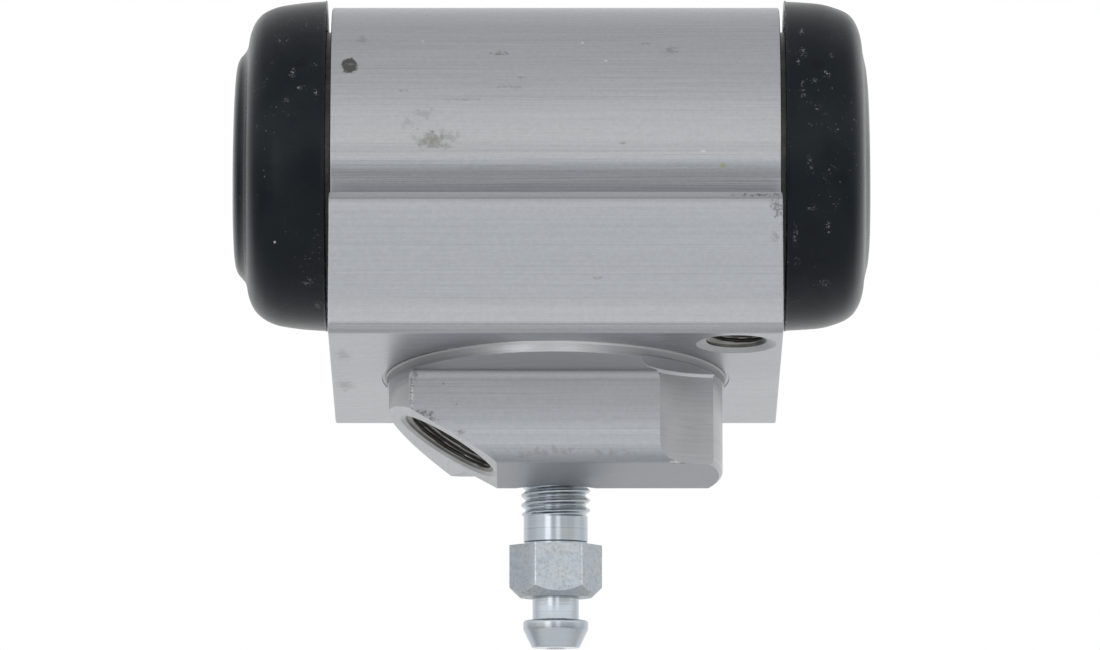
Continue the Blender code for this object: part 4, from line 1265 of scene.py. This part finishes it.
studio = {
    "cameraPlace": (0.0, -1.1283, -0.2540),
    "cameraAim": (-0.00057, -0.00119, 0.0053),
    "lens": 376.6,
    "floorHeight": -0.9,
    "floorCentre": (0.0, 0.75),
    "floorHalf": 1.0,
    "floorColour": (0.93, 0.93, 0.93),
    "light": 1.0,
    # how bright the soft surroundings are, by elevation in degrees
    "front": [
        (-90, 0.95), (-45, 0.95), (-27, 0.86), (-20, 0.88), (-13, 1.0), (-8, 1.16), (-3, 1.32), (5, 1.38),
        (13, 1.31), (20, 1.17), (27, 1.05), (46, 0.84), (90, 0.76),
    ],
    "behind": [
        (-90, 0.55), (-45, 0.75), (-25, 0.88), (-10, 0.90), (5, 0.92), (30, 0.86), (60, 0.76), (90, 0.70),
    ],
    # the dark camera stand, the soft panel on its left and the side walls, by azimuth in degrees
    "panels": [
        (-180, 1.0), (-145, 1.0), (-125, 0.85), (-105, 0.68), (-80, 0.62), (-62, 0.74), (-42, 0.80),
        (-34, 1.45), (-20, 1.5), (-15, 0.62), (-3, 0.62), (6, 1.15), (13, 1.15), (18, 0.62), (36, 0.64),
        (46, 0.58), (66, 0.58), (85, 0.80), (105, 0.86), (125, 0.90), (145, 1.0), (180, 1.0),
    ],
}


def makeSurroundings():
    world = bpy.data.worlds.new("studioWorld")
    bpy.context.scene.world = world
    world.use_nodes = True
    tree = world.node_tree
    tree.nodes.clear()
    x, y, z = splitVector(tree, tree.nodes.new("ShaderNodeTexCoord").outputs["Generated"])
    # height, turned and around go from 0 to 1: upwards, once round, and from the front to the back
    height = maths(tree, "ADD", maths(tree, "DIVIDE", maths(tree, "ARCSINE", z), math.pi), 0.5)
    azimuth = maths(tree, "ARCTAN2", x, times(tree, y, -1.0))
    turned = maths(tree, "MULTIPLY_ADD", azimuth, 0.5 / math.pi, 0.5)
    around = maths(tree, "DIVIDE", maths(tree, "ABSOLUTE", azimuth), math.pi)
    front, behind = [ramp(tree, height, [((angle + 90) / 180, value) for angle, value in studio[key]])
                     for key in ("front", "behind")]
    sides = blendColours(tree, spread(tree, around, 0.35, 0.65), front, behind)
    panels = ramp(tree, turned, [((angle + 180) / 360, value) for angle, value in studio["panels"]])
    low = times(tree, spread(tree, height, 0.515, 0.565, 1.0, 0.0), spread(tree, height, 0.30, 0.36))
    grey = blendColours(tree, low, sides, blendColours(tree, 1.0, sides, panels, "MULTIPLY"))
    soft = place(tree, "ShaderNodeBackground", {"Color": grey, "Strength": studio["light"]})
    white = place(tree, "ShaderNodeBackground", {"Color": (1, 1, 1, 1), "Strength": 1.0})
    # the camera sees white, and so do clear things and the polish that faces the backdrop
    path = tree.nodes.new("ShaderNodeLightPath").outputs
    backdrop = times(tree, spread(tree, around, 0.62, 0.72), spread(tree, height, 0.34, 0.42))
    backdrop = times(tree, backdrop, spread(tree, height, 0.62, 0.72, 1.0, 0.0))
    polish = times(tree, path["Is Glossy Ray"], backdrop)
    seen = maths(tree, "MAXIMUM", path["Is Transmission Ray"], polish)
    seen = maths(tree, "MAXIMUM", path["Is Camera Ray"], seen)
    mix = place(tree, "ShaderNodeMixShader", {0: seen, 1: soft.outputs[0], 2: white.outputs[0]})
    place(tree, "ShaderNodeOutputWorld", {"Surface": mix.outputs[0]})


def makeFloor():
    bm = bmesh.new()
    bmesh.ops.create_grid(bm, x_segments=1, y_segments=1, size=studio["floorHalf"])
    moved(bm, Matrix.Translation((*studio["floorCentre"], studio["floorHeight"])))
    material, _, shader, _ = newMaterial("paleFloor", 0.9, 0.0)
    shader.inputs["Base Color"].default_value = rgba(studio["floorColour"])
    floor = meshObject(bm, "studioFloor", [material])


def makeCamera():
    data = bpy.data.cameras.new("photoCamera")
    data.lens = studio["lens"]
    data.sensor_width = 36.0
    data.clip_start, data.clip_end = 0.05, 60.0
    camera = bpy.data.objects.new("photoCamera", data)
    camera.location = studio["cameraPlace"]
    aim = Vector(studio["cameraAim"]) - Vector(studio["cameraPlace"])
    camera.rotation_euler = aim.to_track_quat("-Z", "Y").to_euler()
    bpy.context.scene.collection.objects.link(camera)
    bpy.context.scene.camera = camera


makeSurroundings()
makeFloor()
makeCamera()
bpy.context.scene.view_settings.view_transform = "Standard"
print("studio made")
